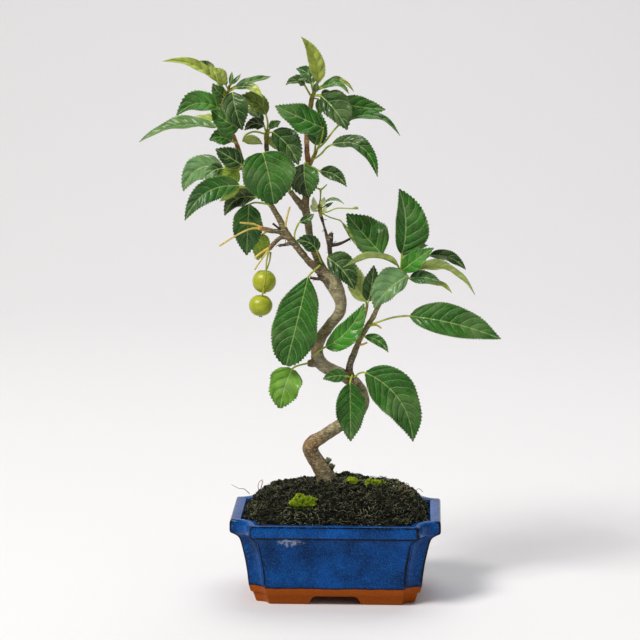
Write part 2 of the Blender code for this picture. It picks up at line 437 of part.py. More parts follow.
# Leaves, as stalk places, base, middle and tip (across, up, depth), width in
# millimetres, tilt and fold in degrees, and how much wider the upper or right half is.
# Tilt turns the upper side up from facing the front; past 90 the underside shows.
# The last word is its outline, as how fast it widens from the base and narrows to
# the tip.
FINE = (0.75, 1.1)
BROAD = (0.62, 1.0)
ROUND = (0.42, 0.75)
LOW = (0.8, 0.62)
SPRAYS = {
    "left_crown_spray": {
        "stem": [(-76.5, 343.1, -3.5, 1.6), (-79.0, 349.0, -3.5, 1.5), (-81.2, 355.5, -3.5, 1.5),
                 (-83.3, 362.0, -3.5, 1.9), (-82.0, 367.5, -3.5, 1.4), (-79.4, 373.0, -3.5, 1.1),
                 (-78.4, 378.0, -3.5, 0.8)],
        "leaves": [
            ([(-80.8, 370.5, -3.5), (-84, 375, -6)],
             (-87, 380.5, -8), (-107, 394, -14), (-127, 395.3, -18), 8.5, 35, 25, 0, FINE),
            ([(-80.5, 371.5, -3.5)],
             (-88, 383, 0), (-94.5, 392, 3), (-101.5, 395.5, 6), 8, 20, 20, 0, FINE),
            ([(-80, 372, -3.5)],
             (-84, 378, -9), (-84.8, 386, -12), (-90.5, 390.6, -14), 9, 25, 15, 0, FINE),
            ([(-79, 375, -3.5)],
             (-80.8, 378, -5), (-81.6, 382, -6), (-82, 386, -6), 3.6, 0, 15, 0, FINE),
            ([(-78.4, 377, -3.5)],
             (-77.8, 379, -3.5), (-77, 383.5, -3), (-76.4, 388, -2), 3.2, 0, 10, 0, FINE),
            ([(-78.4, 377, -3.5)],
             (-76.8, 379, -1), (-74.5, 381.2, 0), (-70, 386.3, 2), 3, 10, 10, 0, FINE),
            ([(-79.2, 374.5, -3.5)],
             (-73.5, 377.8, -1), (-61, 381.6, 4), (-48.3, 384.6, 10), 8, 50, 15, 0, FINE),
            ([(-79.4, 373.5, -3.5)],
             (-74, 376.2, -6), (-62.5, 376.6, -12), (-54, 369.3, -16), 8, 35, 15, 0, FINE),
            ([(-81.5, 369, -3.5)],
             (-82.8, 371, -8), (-87, 374, -12), (-90.3, 379.5, -14), 9.5, 5, 15, 0, FINE),
            ([(-82.5, 366, -3.5)],
             (-82.5, 368, 0), (-86, 370, 3), (-90.5, 374.5, 6), 10, 5, 10, 0, FINE),
            ([(-83.2, 361, -3.5)],
             (-84, 362, 0), (-86.4, 366, 2), (-88.3, 371.5, 4), 5, 0, 10, 0, FINE),
            ([(-83.2, 361.5, -3.5)],
             (-86.5, 361.8, -8), (-103, 365, -16), (-117, 356, -20), 19, 36, 20, 0, BROAD),
            ([(-80.6, 353.5, -3.5)],
             (-89, 347.5, 0), (-117.5, 348.4, 5), (-144.5, 336.5, 2), 15, 58, 18, 0, BROAD),
            ([(-81, 355, -3.5)],
             (-88, 353.4, 6), (-98, 353.4, 12), (-109.3, 350.2, 16), 9, 45, 15, 0, FINE),
            ([(-80.8, 369.5, -3.5)],
             (-76, 373, -10), (-74, 361, -16), (-69, 345.8, -14), 19, 10, 15, 0, BROAD),
            ([(-78.4, 347.5, -3.5)],
             (-72, 347, -8), (-80.5, 352, -13), (-91.3, 360, -12), 21, 8, 12, 0, BROAD),
        ],
    },
    "second_twig_spray": {
        "stem": [(-51.5, 337.1, 6.0, 1.6), (-51.5, 341.0, 6.0, 1.9), (-50.6, 345.5, 6.0, 1.6)],
        "leaves": [
            ([(-50.8, 345, 6), (-50.5, 351, 5)],
             (-51.8, 357, 3), (-58, 366, -1), (-74.3, 367.2, -2), 14, 22, 18, 0, FINE),
            ([(-51.5, 344, 6)],
             (-54.2, 351.5, 8), (-60.5, 358.5, 12), (-69.7, 362.8, 16), 10, 45, 15, 0, FINE),
            ([(-51.5, 343, 6)],
             (-53.2, 348.5, 2), (-60, 350.3, -2), (-67.5, 345.3, -4), 9.5, 15, 15, 0, FINE),
            ([(-51.5, 342.5, 6), (-60, 344.5, 4), (-66.5, 342, 2)],
             (-68.7, 337.5, 1), (-62, 338.2, 1.5), (-54.5, 335.3, 3), 8, 160, 15, 0, FINE),
            ([(-50.8, 345, 6)],
             (-49, 346.5, 8), (-46, 349.5, 10), (-41, 352, 12), 7, 30, 15, 0, FINE),
            ([(-51.5, 341.5, 6)],
             (-49.5, 340.5, 10), (-46, 336.5, 12), (-43, 331, 14), 9, 165, 10, 0, FINE),
            ([(-51, 343.5, 6)],
             (-46.8, 344.3, 2), (-36, 334.5, -2), (-28.3, 320.3, -3.5), 19.5, 10, 12, 0.1, BROAD),
        ],
    },
    "right_crown_spray": {
        "stem": [(-18.9, 364.9, 5, 1.9), (-18.4, 368.5, 5, 1.8), (-17, 372.5, 4, 1.5),
                 (-14.8, 376.5, 3, 1.1)],
        "leaves": [
            ([(-15.5, 375.5, 3.2)],
             (-14, 380, 2), (-15.8, 397, -3), (-26, 413.3, -8), 13.5, 5, 28, 0, FINE),
            ([(-17, 373, 4)],
             (-17.8, 379.5, 6), (-21.5, 387, 9), (-29.8, 390.2, 12), 11, 25, 15, 0, FINE),
            ([(-18.2, 369.5, 4.8), (-20.5, 373, 2)],
             (-23.5, 378.4, -1), (-30, 381.3, -5), (-37.3, 378.6, -8), 9.5, 45, 20, 0, FINE),
            ([(-17.3, 372, 4)],
             (-19, 379.8, 0), (-23.5, 383.3, -3), (-28.6, 381.8, -5), 6.5, 20, 15, 0, FINE),
            ([(-16.5, 373.5, 3.8)],
             (-14.8, 374, -1), (-15.3, 377, -3), (-15, 380.5, -4), 5, 0, 10, 0, FINE),
            ([(-16.2, 374.5, 3.5)],
             (-11.5, 376.2, 0), (-1, 379.4, -5), (8.6, 372.4, -9), 8.5, 48, 15, 0, FINE),
            ([(-16, 375, 3.5)],
             (-10.5, 378.5, 6), (1, 382.3, 11), (12, 374, 15), 7.5, 62, 10, 0, FINE),
            ([(-17.6, 371, 4.5)],
             (-11.5, 370.5, -2), (-1, 359.5, -9), (7.2, 346, -11), 21, 8, 12, 0.25, BROAD),
            ([(-17.6, 371, 4.5), (-9, 370, 8)],
             (0, 366, 12), (19, 362.5, 17), (35, 361, 18), 16, 14, 10, 0, BROAD),
            ([(-17.6, 371, 4.5)],
             (-11.5, 371.5, 10), (-8, 373, 13), (-4.8, 374, 15), 5.5, 0, 10, 0, FINE),
            ([(-18.2, 369, 5)],
             (-13.8, 368.5, 5), (-12.8, 362.5, 7), (-12.2, 356, 8), 5.5, 0, 10, 0, FINE),
        ],
    },
    "right_middle_spray": {
        "stem": [(-18.6, 322.3, 3.4, 1.2), (-17.4, 325.8, 1.5, 1.4), (-15.2, 330, 0.5, 1.1),
                 (-14.4, 332, 0.5, 0.9)],
        "leaves": [
            ([(-17, 326.5, 1.5), (-16.2, 331, 0.5)],
             (-15.7, 335.2, 0), (-13.8, 345, -1), (-11.5, 357.3, 0), 15.5, 0, 15, 0, BROAD),
            ([(-14.6, 331.5, 0.5), (-8.5, 337.5, -3), (-3, 345, -5)],
             (2.8, 351, 0), (28, 356.3, 3), (45.7, 342, 4), 11, 58, 12, 0, FINE),
            ([(-15, 330.5, 0.5), (-11.5, 339, -6)],
             (-10, 347.5, -9), (-28, 355.6, -16), (-45, 363.3, -14), 23, 30, 12, -0.1, BROAD),
            ([(-18, 324, 2), (-12, 328, -3), (-7.5, 333, -7)],
             (-3.5, 335.4, -10), (16, 334.8, -18), (29.5, 311.8, -22), 13.5, 32, 15, 0, BROAD),
        ],
    },
    "bud_cluster": {
        "stem": [(-12.0, 283.9, 3.9, 1.3), (-12.4, 287.5, 3.5, 1.7), (-13.0, 291.0, 3.0, 1.5)],
        "leaves": [
            ([(-12.6, 288, 3.5)],
             (-14.5, 288.5, 1), (-16.6, 292, -1), (-17.3, 296.8, -2), 4, 0, 12, 0, FINE),
            ([(-12.8, 289.5, 3)],
             (-11.6, 290.5, 0), (-10.2, 293, -1), (-9.2, 296.6, -1), 4, 0, 12, 0, FINE),
            ([(-12.6, 287, 3.5)],
             (-15, 286.4, 2.4), (-17.2, 287.9, 1.4), (-19.2, 291.2, 1), 3.6, 0, 10, 0, FINE),
            ([(-12.6, 289, 3)],
             (-9, 293, 0), (-2, 295.4, -2), (5, 291.9, -3), 2.6, 40, 10, 0, FINE),
            ([(-12.6, 288.6, 3.3)],
             (-9.5, 289.5, 2), (-6.5, 290.8, 1), (-3, 293, 1), 2.6, 10, 10, 0, FINE),
            ([(-12.4, 286, 3.5)],
             (-10.6, 285, 0), (-9, 287.5, -2), (-8, 290, -3), 3, 0, 10, 0, FINE),
            ([(2.2, 279.8, 6.8)],
             (3.6, 278.4, 6.5), (8.8, 270.4, 4.5), (15.2, 259.8, 2), 3.4, 30, 20, 0, FINE),
        ],
        "stalks": [
            [(-13, 290.5, 3, 0.8), (-12.2, 295, 2, 0.6), (-12, 300.5, 2, 0.7),
             (-12, 302.8, 2, 1.3)],
            [(-12.0, 302.2, 2.0, 0.8), (-14.5, 303.2, 1.0, 0.6), (-17.0, 303.4, 0.0, 0.4)],
            [(-12.0, 302.2, 2.0, 0.8), (-10.0, 303.4, 1.0, 0.6), (-7.4, 306.0, 0.0, 0.4)],
            [(-12.4, 285.5, 3.5, 0.8), (-7, 285.8, 1, 0.5), (0, 288.6, -1, 0.5),
             (10.5, 288.4, -3, 0.5), (13.8, 288.9, -3.5, 1.1), (15.4, 288.3, -3.5, 0.5)],
            [(-12.4, 286, 3.5, 0.8), (-9.3, 284, 3.5, 0.5), (-5, 281.8, 5, 0.5),
             (2.8, 279.6, 7, 0.5)],
        ],
    },
    "left_middle_spray": {
        "stem": [(-67.3, 317.0, -5.6, 1.0), (-69.0, 317.3, -8.5, 1.2), (-71.5, 317.2, -10.0, 0.9)],
        "leaves": [
            ([(-69, 317.4, -8.5)],
             (-69.5, 320, -9.5), (-78, 325.5, -11.5), (-88.6, 331.6, -12), 15.5, 5, 12, 0, BROAD),
            ([(-71, 317.2, -10), (-77, 317.6, -9)],
             (-84, 318.3, -7), (-102.5, 316.8, -2), (-112.5, 300.6, 2), 18, 20, 12, 0, BROAD),
            ([(-71, 317.2, -10), (-77, 317, -11)],
             (-83, 317.5, -12.5), (-90.5, 315.8, -14.5), (-96.5, 309.3, -15), 10, 15, 12, 0, FINE),
            ([(-71, 317.2, -10)],
             (-72, 315.6, -9.5), (-79.5, 312, -7), (-89.5, 308.4, -5), 15, 178, 8, 0, ROUND),
        ],
    },
    "leader_side_leaf": {
        "stem": [(-74.2, 336.6, -5.2, 0.8), (-75.6, 337.0, -7.0, 0.7)],
        "leaves": [
            ([], (-77.2, 337.2, -7.5), (-85, 340.6, -9), (-93, 338, -9), 12.5, 12, 12, 0, BROAD),
        ],
    },
    "left_long_leaf_spray": {
        "stem": [(-56.2, 297.8, -5.4, 0.8), (-60.5, 300.6, -9.0, 0.8), (-65.5, 303.6, -12.0, 0.8)],
        "leaves": [
            ([(-65, 303.3, -11.7)],
             (-71.5, 304.8, -14), (-95.5, 299.8, -22), (-111.5, 279, -24), 17.5, 12, 12, 0, BROAD),
            ([(-65, 303.3, -11.7), (-68.5, 303.6, -11.5)],
             (-71.5, 303.2, -11.7), (-77.5, 299, -12.5), (-86, 293.2, -13.5), 6, 170, 10, 0, FINE),
        ],
    },
    "left_dark_leaf": {
        "stem": [(-53.8, 295.2, -5.2, 0.8), (-56.5, 295.8, -7.0, 0.7)],
        "leaves": [
            ([], (-59.5, 296.4, -8), (-73, 295.2, -9), (-82.3, 282.8, -8), 15, 25, 12, 0, BROAD),
        ],
    },
    "left_hanging_leaf": {
        "stem": [(-49.6, 291.0, -4.8, 0.8), (-53.5, 291.8, -4.4, 0.7), (-60.0, 292.4, -2.4, 0.7)],
        "leaves": [
            ([], (-64.5, 291, -1), (-65.5, 273.5, 0), (-66.3, 253.5, 0), 23, 5, 8, 0, BROAD),
        ],
    },
    "front_leaf": {
        "stem": [(-34.6, 301.6, 0.8, 0.9), (-34, 309, 1.5, 0.8), (-38, 320, 1, 0.8),
                 (-46, 329, -3, 0.8)],
        "leaves": [
            ([], (-54, 329, -8), (-50.5, 315, -14), (-46.2, 291.3, -12), 41, 12, 8, 0, ROUND),
        ],
    },
    "dark_fold_leaf": {
        "stem": [(-22.0, 321.5, 1.8, 0.9), (-23.0, 321.8, -0.5, 0.8)],
        "leaves": [
            ([], (-24, 320.6, -3), (-23.6, 309, -5.5), (-20.6, 296.3, -5), 23.5, 0, 22, 0, BROAD),
        ],
    },
    "right_small_leaf": {
        "stem": [(-19.4, 318.2, 2.4, 0.8), (-17.5, 318.6, 0.0, 0.7)],
        "leaves": [
            ([], (-12.5, 315.6, -3), (-2, 313.4, -9), (7, 304.4, -12), 10.5, 20, 15, 0, FINE),
        ],
    },
    "spur_leaf": {
        "stem": [(-30.9, 264.4, -2.8, 0.6), (-31.0, 270.0, -3.5, 0.6), (-28.8, 276.0, -5.0, 0.7)],
        "leaves": [
            ([], (-27.3, 278.2, -5), (-22.5, 280.2, -4), (-16.8, 284.3, -3), 6.5, 10, 12, 0, FINE),
        ],
    },
    "leader_leaf": {
        "stem": [(-11.5, 247.6, 1.6, 0.8), (-11.8, 249.0, -1.2, 0.7), (-13.0, 252.0, -3.0, 0.6)],
        "leaves": [
            ([], (-14.6, 256.8, -5), (-21, 263.4, -8), (-30, 264, -9), 13, 12, 12, 0, BROAD),
        ],
    },
    "dead_spur_leaf": {
        "stem": [(-4.9, 252.3, 1.7, 0.8), (-6.0, 252.8, -1.5, 0.8)],
        "leaves": [
            ([], (-7, 252, -3), (3.5, 243.5, -8), (12.8, 228.3, -9), 18, 5, 12, 0.2, BROAD),
        ],
    },
    "right_branch_spray": {
        "stem": [(46.1, 239.9, 2.5, 1.5), (46.6, 241.5, 2.2, 1.9), (46.2, 243.4, 2.0, 1.3)],
        "leaves": [
            ([(46.2, 242.8, 2), (42, 250, 4)],
             (33, 254.8, 7), (20.5, 268.5, 12), (7, 284.6, 16), 29, 20, 12, 0.15, BROAD),
            ([(46.6, 242, 2), (47.2, 249, -1)],
             (47.5, 255, -2), (50.2, 276, -5), (45.3, 303, -2), 25, 10, 12, 0.35, BROAD),
            ([(46.8, 241.5, 2)],
             (48.2, 243, -5), (58, 251, -11), (70.8, 259.6, -14), 14, 15, 15, 0, BROAD),
            ([(46.8, 241.8, 2.2)],
             (48.5, 252.5, 8), (56.5, 259, 12), (66.5, 261.6, 15), 8, 20, 10, 0, FINE),
            ([(46.8, 241.5, 2.4), (57, 249, 6)],
             (68, 254, 7), (83, 252.6, 8), (94.4, 243.8, 8), 10.5, 35, 12, 0, BROAD),
            ([(46.8, 241, 2.2)],
             (53.5, 241.8, 0), (78, 245.6, -4), (101.2, 225.2, -4), 13, 118, 10, 0, BROAD),
            ([(46.8, 241, 2)],
             (53.5, 237, -6), (64, 237.8, -10), (76, 234.3, -12), 10.5, 20, 12, 0, BROAD),
            ([(46.8, 240.8, 2.2), (57, 235, 3)],
             (66, 233.6, 2), (77, 232.6, 0), (84.3, 226.5, -2), 5.5, 40, 12, 0, FINE),
            ([(46.6, 241, 1.6)],
             (52, 239, -10), (39.5, 230.5, -14), (27.5, 214.8, -12), 21, 10, 10, 0.25, BROAD),
            ([(46.2, 242.6, 1.6)],
             (44.5, 247, -4), (28, 253.2, -15), (4.5, 245, -18), 12.5, 112, 12, 0, FINE),
        ],
    },
    "branch_leaf_pair": {
        "stem": [(16.9, 192.5, -2.6, 0.8), (18.6, 201, -3, 0.75), (21.3, 211, -3.5, 0.9),
                 (22.3, 217.5, -4, 1.1)],
        "leaves": [
            ([(22, 216.5, -4)],
             (21.3, 220, -5), (14.5, 234, -5), (12.5, 249, -3), 15.5, 172, 8, 0, BROAD),
            ([(22.2, 216.8, -4)],
             (23.2, 220, -6), (25.5, 232, -8.5), (27, 246.5, -8), 13.5, 5, 12, 0, BROAD),
        ],
    },
    "long_right_leaf": {
        "stem": [(24.5, 202.2, -2.6, 0.9), (31, 204.6, -5, 0.75), (41, 207.8, -7, 0.7),
                 (50, 209, -8, 0.75)],
        "leaves": [
            ([], (54, 209, -8.5), (86, 203.6, -14), (120.6, 192.4, -12), 24.5, 12, 10, 0.12, BROAD),
        ],
    },
    "branch_small_leaf": {
        "stem": [(18.6, 193.6, -2.2, 0.7), (19.8, 193.9, -4.0, 0.6)],
        "leaves": [
            ([], (20.5, 193.4, -5), (30, 190.6, -8), (38, 181.8, -10), 8, 15, 12, 0, FINE),
        ],
    },
    "trunk_leaf_right": {
        "stem": [(-16.4, 178.6, -2.0, 0.8), (-15.6, 180.6, -6.4, 0.7), (-11.5, 183.6, -7.6, 0.7)],
        "leaves": [
            ([], (-8, 185.6, -7.5), (6.5, 196.6, -9.5), (19.8, 218.2, -8), 18, 8, 12, -0.2, BROAD),
        ],
    },
    "big_hanging_leaf": {
        "stem": [(-13.4, 245.4, -4.6, 0.8), (-17.0, 242.2, -7.0, 0.75), (-20.0, 239.2, -8.0, 0.8)],
        "leaves": [
            ([], (-21.3, 237.6, -8.5), (-29.6, 203.5, -14), (-37.5, 171.3, -12), 34, 5, 8, 0, LOW),
        ],
    },
    "round_leaf": {
        "stem": [(-21.4, 173.2, -1.6, 0.8), (-27.0, 171.8, -4.0, 0.7), (-31.0, 170.3, -4.5, 0.7)],
        "leaves": [
            ([], (-33, 168.8, -5), (-39, 154, -8), (-42, 139.2, -6), 24, 5, 8, 0, ROUND),
        ],
    },
    "small_trunk_leaf": {
        "stem": [(8.8, 163.2, -2.2, 0.8), (7.6, 163.4, -4.0, 0.7)],
        "leaves": [
            ([],
             (6.8, 163.6, -4.5), (-0.5, 164, -6.5), (-10.2, 161.3, -7.5), 10.5, 8, 12, 0, BROAD),
        ],
    },
    "hanging_trunk_leaf": {
        "stem": [(11.0, 163.2, -1.6, 0.9), (10.2, 160.5, -4.0, 0.8)],
        "leaves": [
            ([], (9.8, 158.3, -5.5), (10, 137, -8), (10.4, 114.6, -6), 22.5, 5, 12, 0, BROAD),
        ],
    },
    "lower_right_leaf": {
        "stem": [(13.4, 163.2, -1.0, 0.8), (16.0, 165.6, -4.0, 0.7), (19.0, 166.6, -6.0, 0.7)],
        "leaves": [
            ([], (21.3, 166.3, -7), (42.5, 151, -12), (56.5, 114.8, -10), 31, 5, 10, 0, BROAD),
        ],
    },
    "spur_hanging_leaf": {
        "stem": [(-51.5, 271.0, -5.0, 0.8), (-53.0, 270.0, -1.5, 0.7), (-54.0, 269.4, 3.0, 0.7)],
        "leaves": [
            ([], (-54.8, 269, 5), (-55.8, 261, 7), (-58.5, 250, 7), 14, 170, 8, 0, BROAD),
        ],
    },
}

# Fruit: centre, height as a share of the width, and the stalk from the spur down
FRUITS = {
    "crabapple_upper": ((-53.6, 234.2, 1.0), 1.0, [
        (-48.7, 255.6, -8.2, 0.8), (-49.4, 250.0, -5.5, 0.6), (-51.3, 244.0, -1.0, 0.6),
        (-54.0, 239.4, 0.6, 0.7)]),
    "crabapple_lower": ((-56.2, 216.2, -3.0), 0.93, [
        (-49.7, 258.3, -9.2, 0.8), (-51.7, 249.0, -10.2, 0.6), (-52.4, 240.0, -10.4, 0.6),
        (-53.8, 229.0, -9.6, 0.6), (-55.6, 221.3, -4.6, 0.7)]),
}

# Moss clumps: name, middle across and along, size
MOSSES = [
    ("moss_clump_left", (-23.5, -34.5), (21.0, 13.0, 8.0)),
    ("moss_clump_right", (27.0, -6.5), (13.0, 9.0, 5.0)),
    ("moss_clump_middle", (11.5, -12.5), (9.0, 8.0, 4.0)),
]


def blade_shape(share, outline):
    """Half width of a leaf as a share of its greatest, from base (0) to tip (1)."""
    rise, fall = outline
    peak = rise / (rise + fall)
    top = peak ** rise * (1 - peak) ** fall
    return share ** rise * (1 - share) ** fall / top


def midrib(base, middle, tip):
    """The curve through three points, its length, and where the middle one lies on it."""
    first = (middle - base).length
    length = first + (tip - middle).length
    knee = first / length

    def place(t):
        to_base = (t - knee) * (t - 1) / knee
        to_middle = t * (t - 1) / (knee * (knee - 1))
        to_tip = t * (t - knee) / (1 - knee)
        return base * to_base + middle * to_middle + tip * to_tip

    return place, length


def thickened(name, flat, bench):
    """A closed blade from an open surface, which is removed."""
    thick = flat.modifiers.new("thickness", "SOLIDIFY")
    thick.thickness = BLADE_THICKNESS * MM
    thick.offset = 0.0
    solid = object_of(name, finished_mesh(flat), bench)
    bpy.data.objects.remove(flat, do_unlink=True)
    work = bmesh.new()
    work.from_mesh(solid.data)
    bmesh.ops.recalc_face_normals(work, faces=work.faces)
    work.to_mesh(solid.data)
    work.free()
    return solid


def blade(name, base, middle, tip, width, tilt, fold, bias, outline, bench):
    """A thin leaf blade on a curved midrib, with a toothed edge."""
    start, knee, end = (seen_at(*p) for p in (base, middle, tip))
    spine, length = midrib(start, knee, end)
    rows = 3 + sum(length > step * MM for step in ROW_LENGTHS)
    cells = 2 if width < BROAD_WIDTH else 4
    turn = math.radians(tilt) * (1.0 if end.x >= start.x else -1.0)
    lift = math.radians(fold)
    work = bmesh.new()
    bmesh.ops.create_grid(work, x_segments=cells, y_segments=rows, size=1.0)
    for vert in work.verts:
        across = vert.co.x
        share = (vert.co.y + 1) / 2
        row = round(share * rows)
        place = spine(share)
        ahead = (spine(min(share + 0.02, 1.02)) - spine(share - 0.02)).normalized()
        view = (place - VIEWPOINT * MM).normalized()
        side = view.cross(ahead).normalized()
        face = side.cross(ahead).normalized()
        if face.dot(view) > 0:
            face = -face
        out = side * math.cos(turn) + face * math.sin(turn)
        rise = face * math.cos(turn) - side * math.sin(turn)
        held = min(max(share, 0.012), 0.985)
        half = max(width / 2 * blade_shape(held, outline), LEAST_HALF_WIDTH) * MM
        upper_or_right = out.z if abs(out.z) > 0.35 else out.x
        half *= 1 + bias * (1 if across * upper_or_right > 0 else -1)
        forward = 0.0
        if abs(across) > 0.99 and 0 < row < rows:
            tooth = 1 if row % 2 else -1
            half *= 1 + TOOTH_DEPTH * tooth
            forward = TOOTH_LEAN * tooth * length / rows
        reach = abs(across) * half
        vert.co = (place + out * math.copysign(reach, across) * math.cos(lift)
                   + rise * reach * math.sin(lift) + ahead * forward)
    bmesh.ops.triangulate(work, faces=work.faces)
    mesh = bpy.data.meshes.new(name)
    work.to_mesh(mesh)
    work.free()
    return thickened(name, object_of(name, mesh, bench), bench), spine(MIDRIB_REACH)


def route_places(rows, steps, longer=0.0):
    """Places along a route, its two ends drawn out by some millimetres."""
    places = [(seen_at(x, z, y), r) for x, z, y, r in smooth_route(rows, steps)]
    for end, inner in ((0, 1), (-1, -2)):
        place, radius = places[end]
        away = (place - places[inner][0]).normalized()
        places[end] = (place + away * longer * MM, radius)
    return places


def build_spray(name, spray, look, parts, bench):
    """Leaves on their stalks on one stem; a leaf that is alone has the stem as its stalk."""
    stem = route_places(spray["stem"], 1)
    alone = len(spray["leaves"]) == 1
    pieces = [] if alone else [tube(name + "_stem", stem, bench, 1)]
    for i, row in enumerate(spray["leaves"]):
        stalk, base, middle, tip, width, tilt, fold, bias, outline = row
        leaf, end = blade(f"{name}_{i}", base, middle, tip, width, tilt, fold, bias,
                          outline, bench)
        thick = STALK_RADIUS if width > SMALL_LEAF_WIDTH else SMALL_STALK_RADIUS
        root = stem if alone else [(seen_at(*p), thick) for p in stalk]
        places = root + [(seen_at(*base), thick), (end, thick * 0.9)]
        pieces.append(leaf)
        pieces.append(tube(f"{name}_{i}_stalk", places, bench, 0))
    for i, stalk in enumerate(spray.get("stalks", [])):
        pieces.append(tube(f"{name}_stalk_{i}", route_places(stalk, 1), bench, 0))
    return joined(name, pieces, look, parts, bench)


def build_fruit(name, fruit, look, parts, bench):
    centre, flatness, stalk = fruit
    work = bmesh.new()
    bmesh.ops.create_uvsphere(work, u_segments=16, v_segments=8, radius=1.0)
    for vert in work.verts:
        side = math.hypot(vert.co.x, vert.co.y)
        dimple = DIMPLE_DEPTH * math.exp(-(side / DIMPLE_WIDTH) ** 2)
        vert.co.z *= (1 - dimple) * flatness
        vert.co *= FRUIT_RADIUS * MM
        vert.co += seen_at(*centre)
    mesh = bpy.data.meshes.new(name)
    work.to_mesh(mesh)
    work.free()
    ball = object_of(name + "_flesh", mesh, bench)
    stem = tube(name + "_stalk", route_places(stalk, 2), bench, 0)
    return joined(name, [ball, stem], look, parts, bench)


def build_wood(name, extra, look, parts, bench):
    pieces = []
    for i, (rows, rounding) in enumerate(LIMBS):
        pieces.append(tube(f"{name}_{i}", route_places(rows, 1, extra), bench, rounding, extra))
    return joined(name, pieces, look, parts, bench)


def stand_on_origin(parts):
    """Moves everything so that the middle of the base of the whole is the origin."""
    low = Vector((math.inf,) * 3)
    high = Vector((-math.inf,) * 3)
    for item in parts.objects:
        for vert in item.data.vertices:
            place = item.matrix_world @ vert.co
            low = Vector(map(min, low, place))
            high = Vector(map(max, high, place))
    shift = Vector((-(low.x + high.x) / 2, -(low.y + high.y) / 2, -low.z))
    for item in parts.objects:
        item.data.transform(Matrix.Translation(shift))
        item.data.shade_smooth()
        item.data.set_sharp_from_angle(angle=math.radians(40))


def main():
    remove_everything()
    parts = new_collection("crabapple_bonsai")
    bench = new_collection("cutters")
    leaf_green = material("leaf_green", (0.02, 0.13, 0.02), 0.4)
    bark = material("bark", (0.26, 0.20, 0.13), 0.8)
    apple = material("apple_skin", (0.40, 0.47, 0.03), 0.35)
    moss = material("moss", (0.25, 0.38, 0.02), 0.95)
    build_pot(parts, bench)
    soil = build_soil(parts)
    build_wood("trunk", 0.0, bark, parts, bench)
    clear = build_wood("wood_clearance", CLEARANCE, None, bench, bench)
    cut_by(soil, clear)
    for name, (x, y), size in MOSSES:
        centre = (x, y, mound_height(x, y) + size[2] * 0.1)
        bed = cushion(name + "_bed", centre, size, CLEARANCE, bench)
        cut_by(soil, bed)
        bpy.data.objects.remove(bed, do_unlink=True)
        clump = cushion(name, centre, size, 0.0, parts)
        clump.data.materials.append(moss)
    for name, spray in SPRAYS.items():
        item = build_spray(name, spray, leaf_green, parts, bench)
        cut_by(item, clear)
    for name, fruit in FRUITS.items():
        item = build_fruit(name, fruit, apple, parts, bench)
        cut_by(item, clear)
    bpy.data.objects.remove(clear, do_unlink=True)
    stand_on_origin(parts)


main()
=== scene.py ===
"""Crabapple bonsai in a blue glazed pot, finished for rendering.

Metres, +Z up; the plant's front faces -Y. Places on the plant are given as they are
seen from the front: millimetres to the right of the pot's middle and above the table,
on the upright plane through the pot's middle, and then a depth behind it.
"""
import math
import random

import bmesh
import bpy
from mathutils import Matrix, Vector, kdtree, noise


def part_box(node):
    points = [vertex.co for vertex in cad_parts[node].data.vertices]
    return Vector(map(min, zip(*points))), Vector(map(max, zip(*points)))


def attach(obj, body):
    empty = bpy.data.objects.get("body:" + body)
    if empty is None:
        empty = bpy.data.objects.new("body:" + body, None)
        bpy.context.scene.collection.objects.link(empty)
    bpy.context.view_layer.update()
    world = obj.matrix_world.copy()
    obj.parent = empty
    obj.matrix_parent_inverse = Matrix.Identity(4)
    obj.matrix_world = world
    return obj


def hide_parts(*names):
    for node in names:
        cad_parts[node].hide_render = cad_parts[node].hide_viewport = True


bl_info = {
    "name": "Crabapple bonsai",
    "version": (1, 0, 0),
    "blender": (4, 5, 0),
    "location": "View3D > Sidebar > Bonsai",
    "description": "Models the finished pieces of a potted crabapple bonsai",
    "category": "Object",
}

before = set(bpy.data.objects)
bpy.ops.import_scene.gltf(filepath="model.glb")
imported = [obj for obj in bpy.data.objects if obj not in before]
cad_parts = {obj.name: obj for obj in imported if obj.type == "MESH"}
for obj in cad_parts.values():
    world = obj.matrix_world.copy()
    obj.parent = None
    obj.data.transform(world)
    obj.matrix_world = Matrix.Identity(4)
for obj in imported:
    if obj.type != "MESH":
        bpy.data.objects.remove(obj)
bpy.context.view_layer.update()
POT_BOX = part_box("pot")
POT_MIDDLE = Vector(((POT_BOX[0].x + POT_BOX[1].x) / 2, (POT_BOX[0].y + POT_BOX[1].y) / 2, 0.0))

MM = 0.001

# The point the plant is looked at from, in millimetres from the pot's middle, how far in
# degrees the camera looks down and to the left there, and its lens and film
VIEWPOINT = Vector((65.5, -1984.0, 545.0))
EYE = VIEWPOINT * MM + POT_MIDDLE
EYE_PITCH = 9.7
EYE_YAW = 2.25
EYE_LENS = 153.9
FILM_WIDTH = 36.0

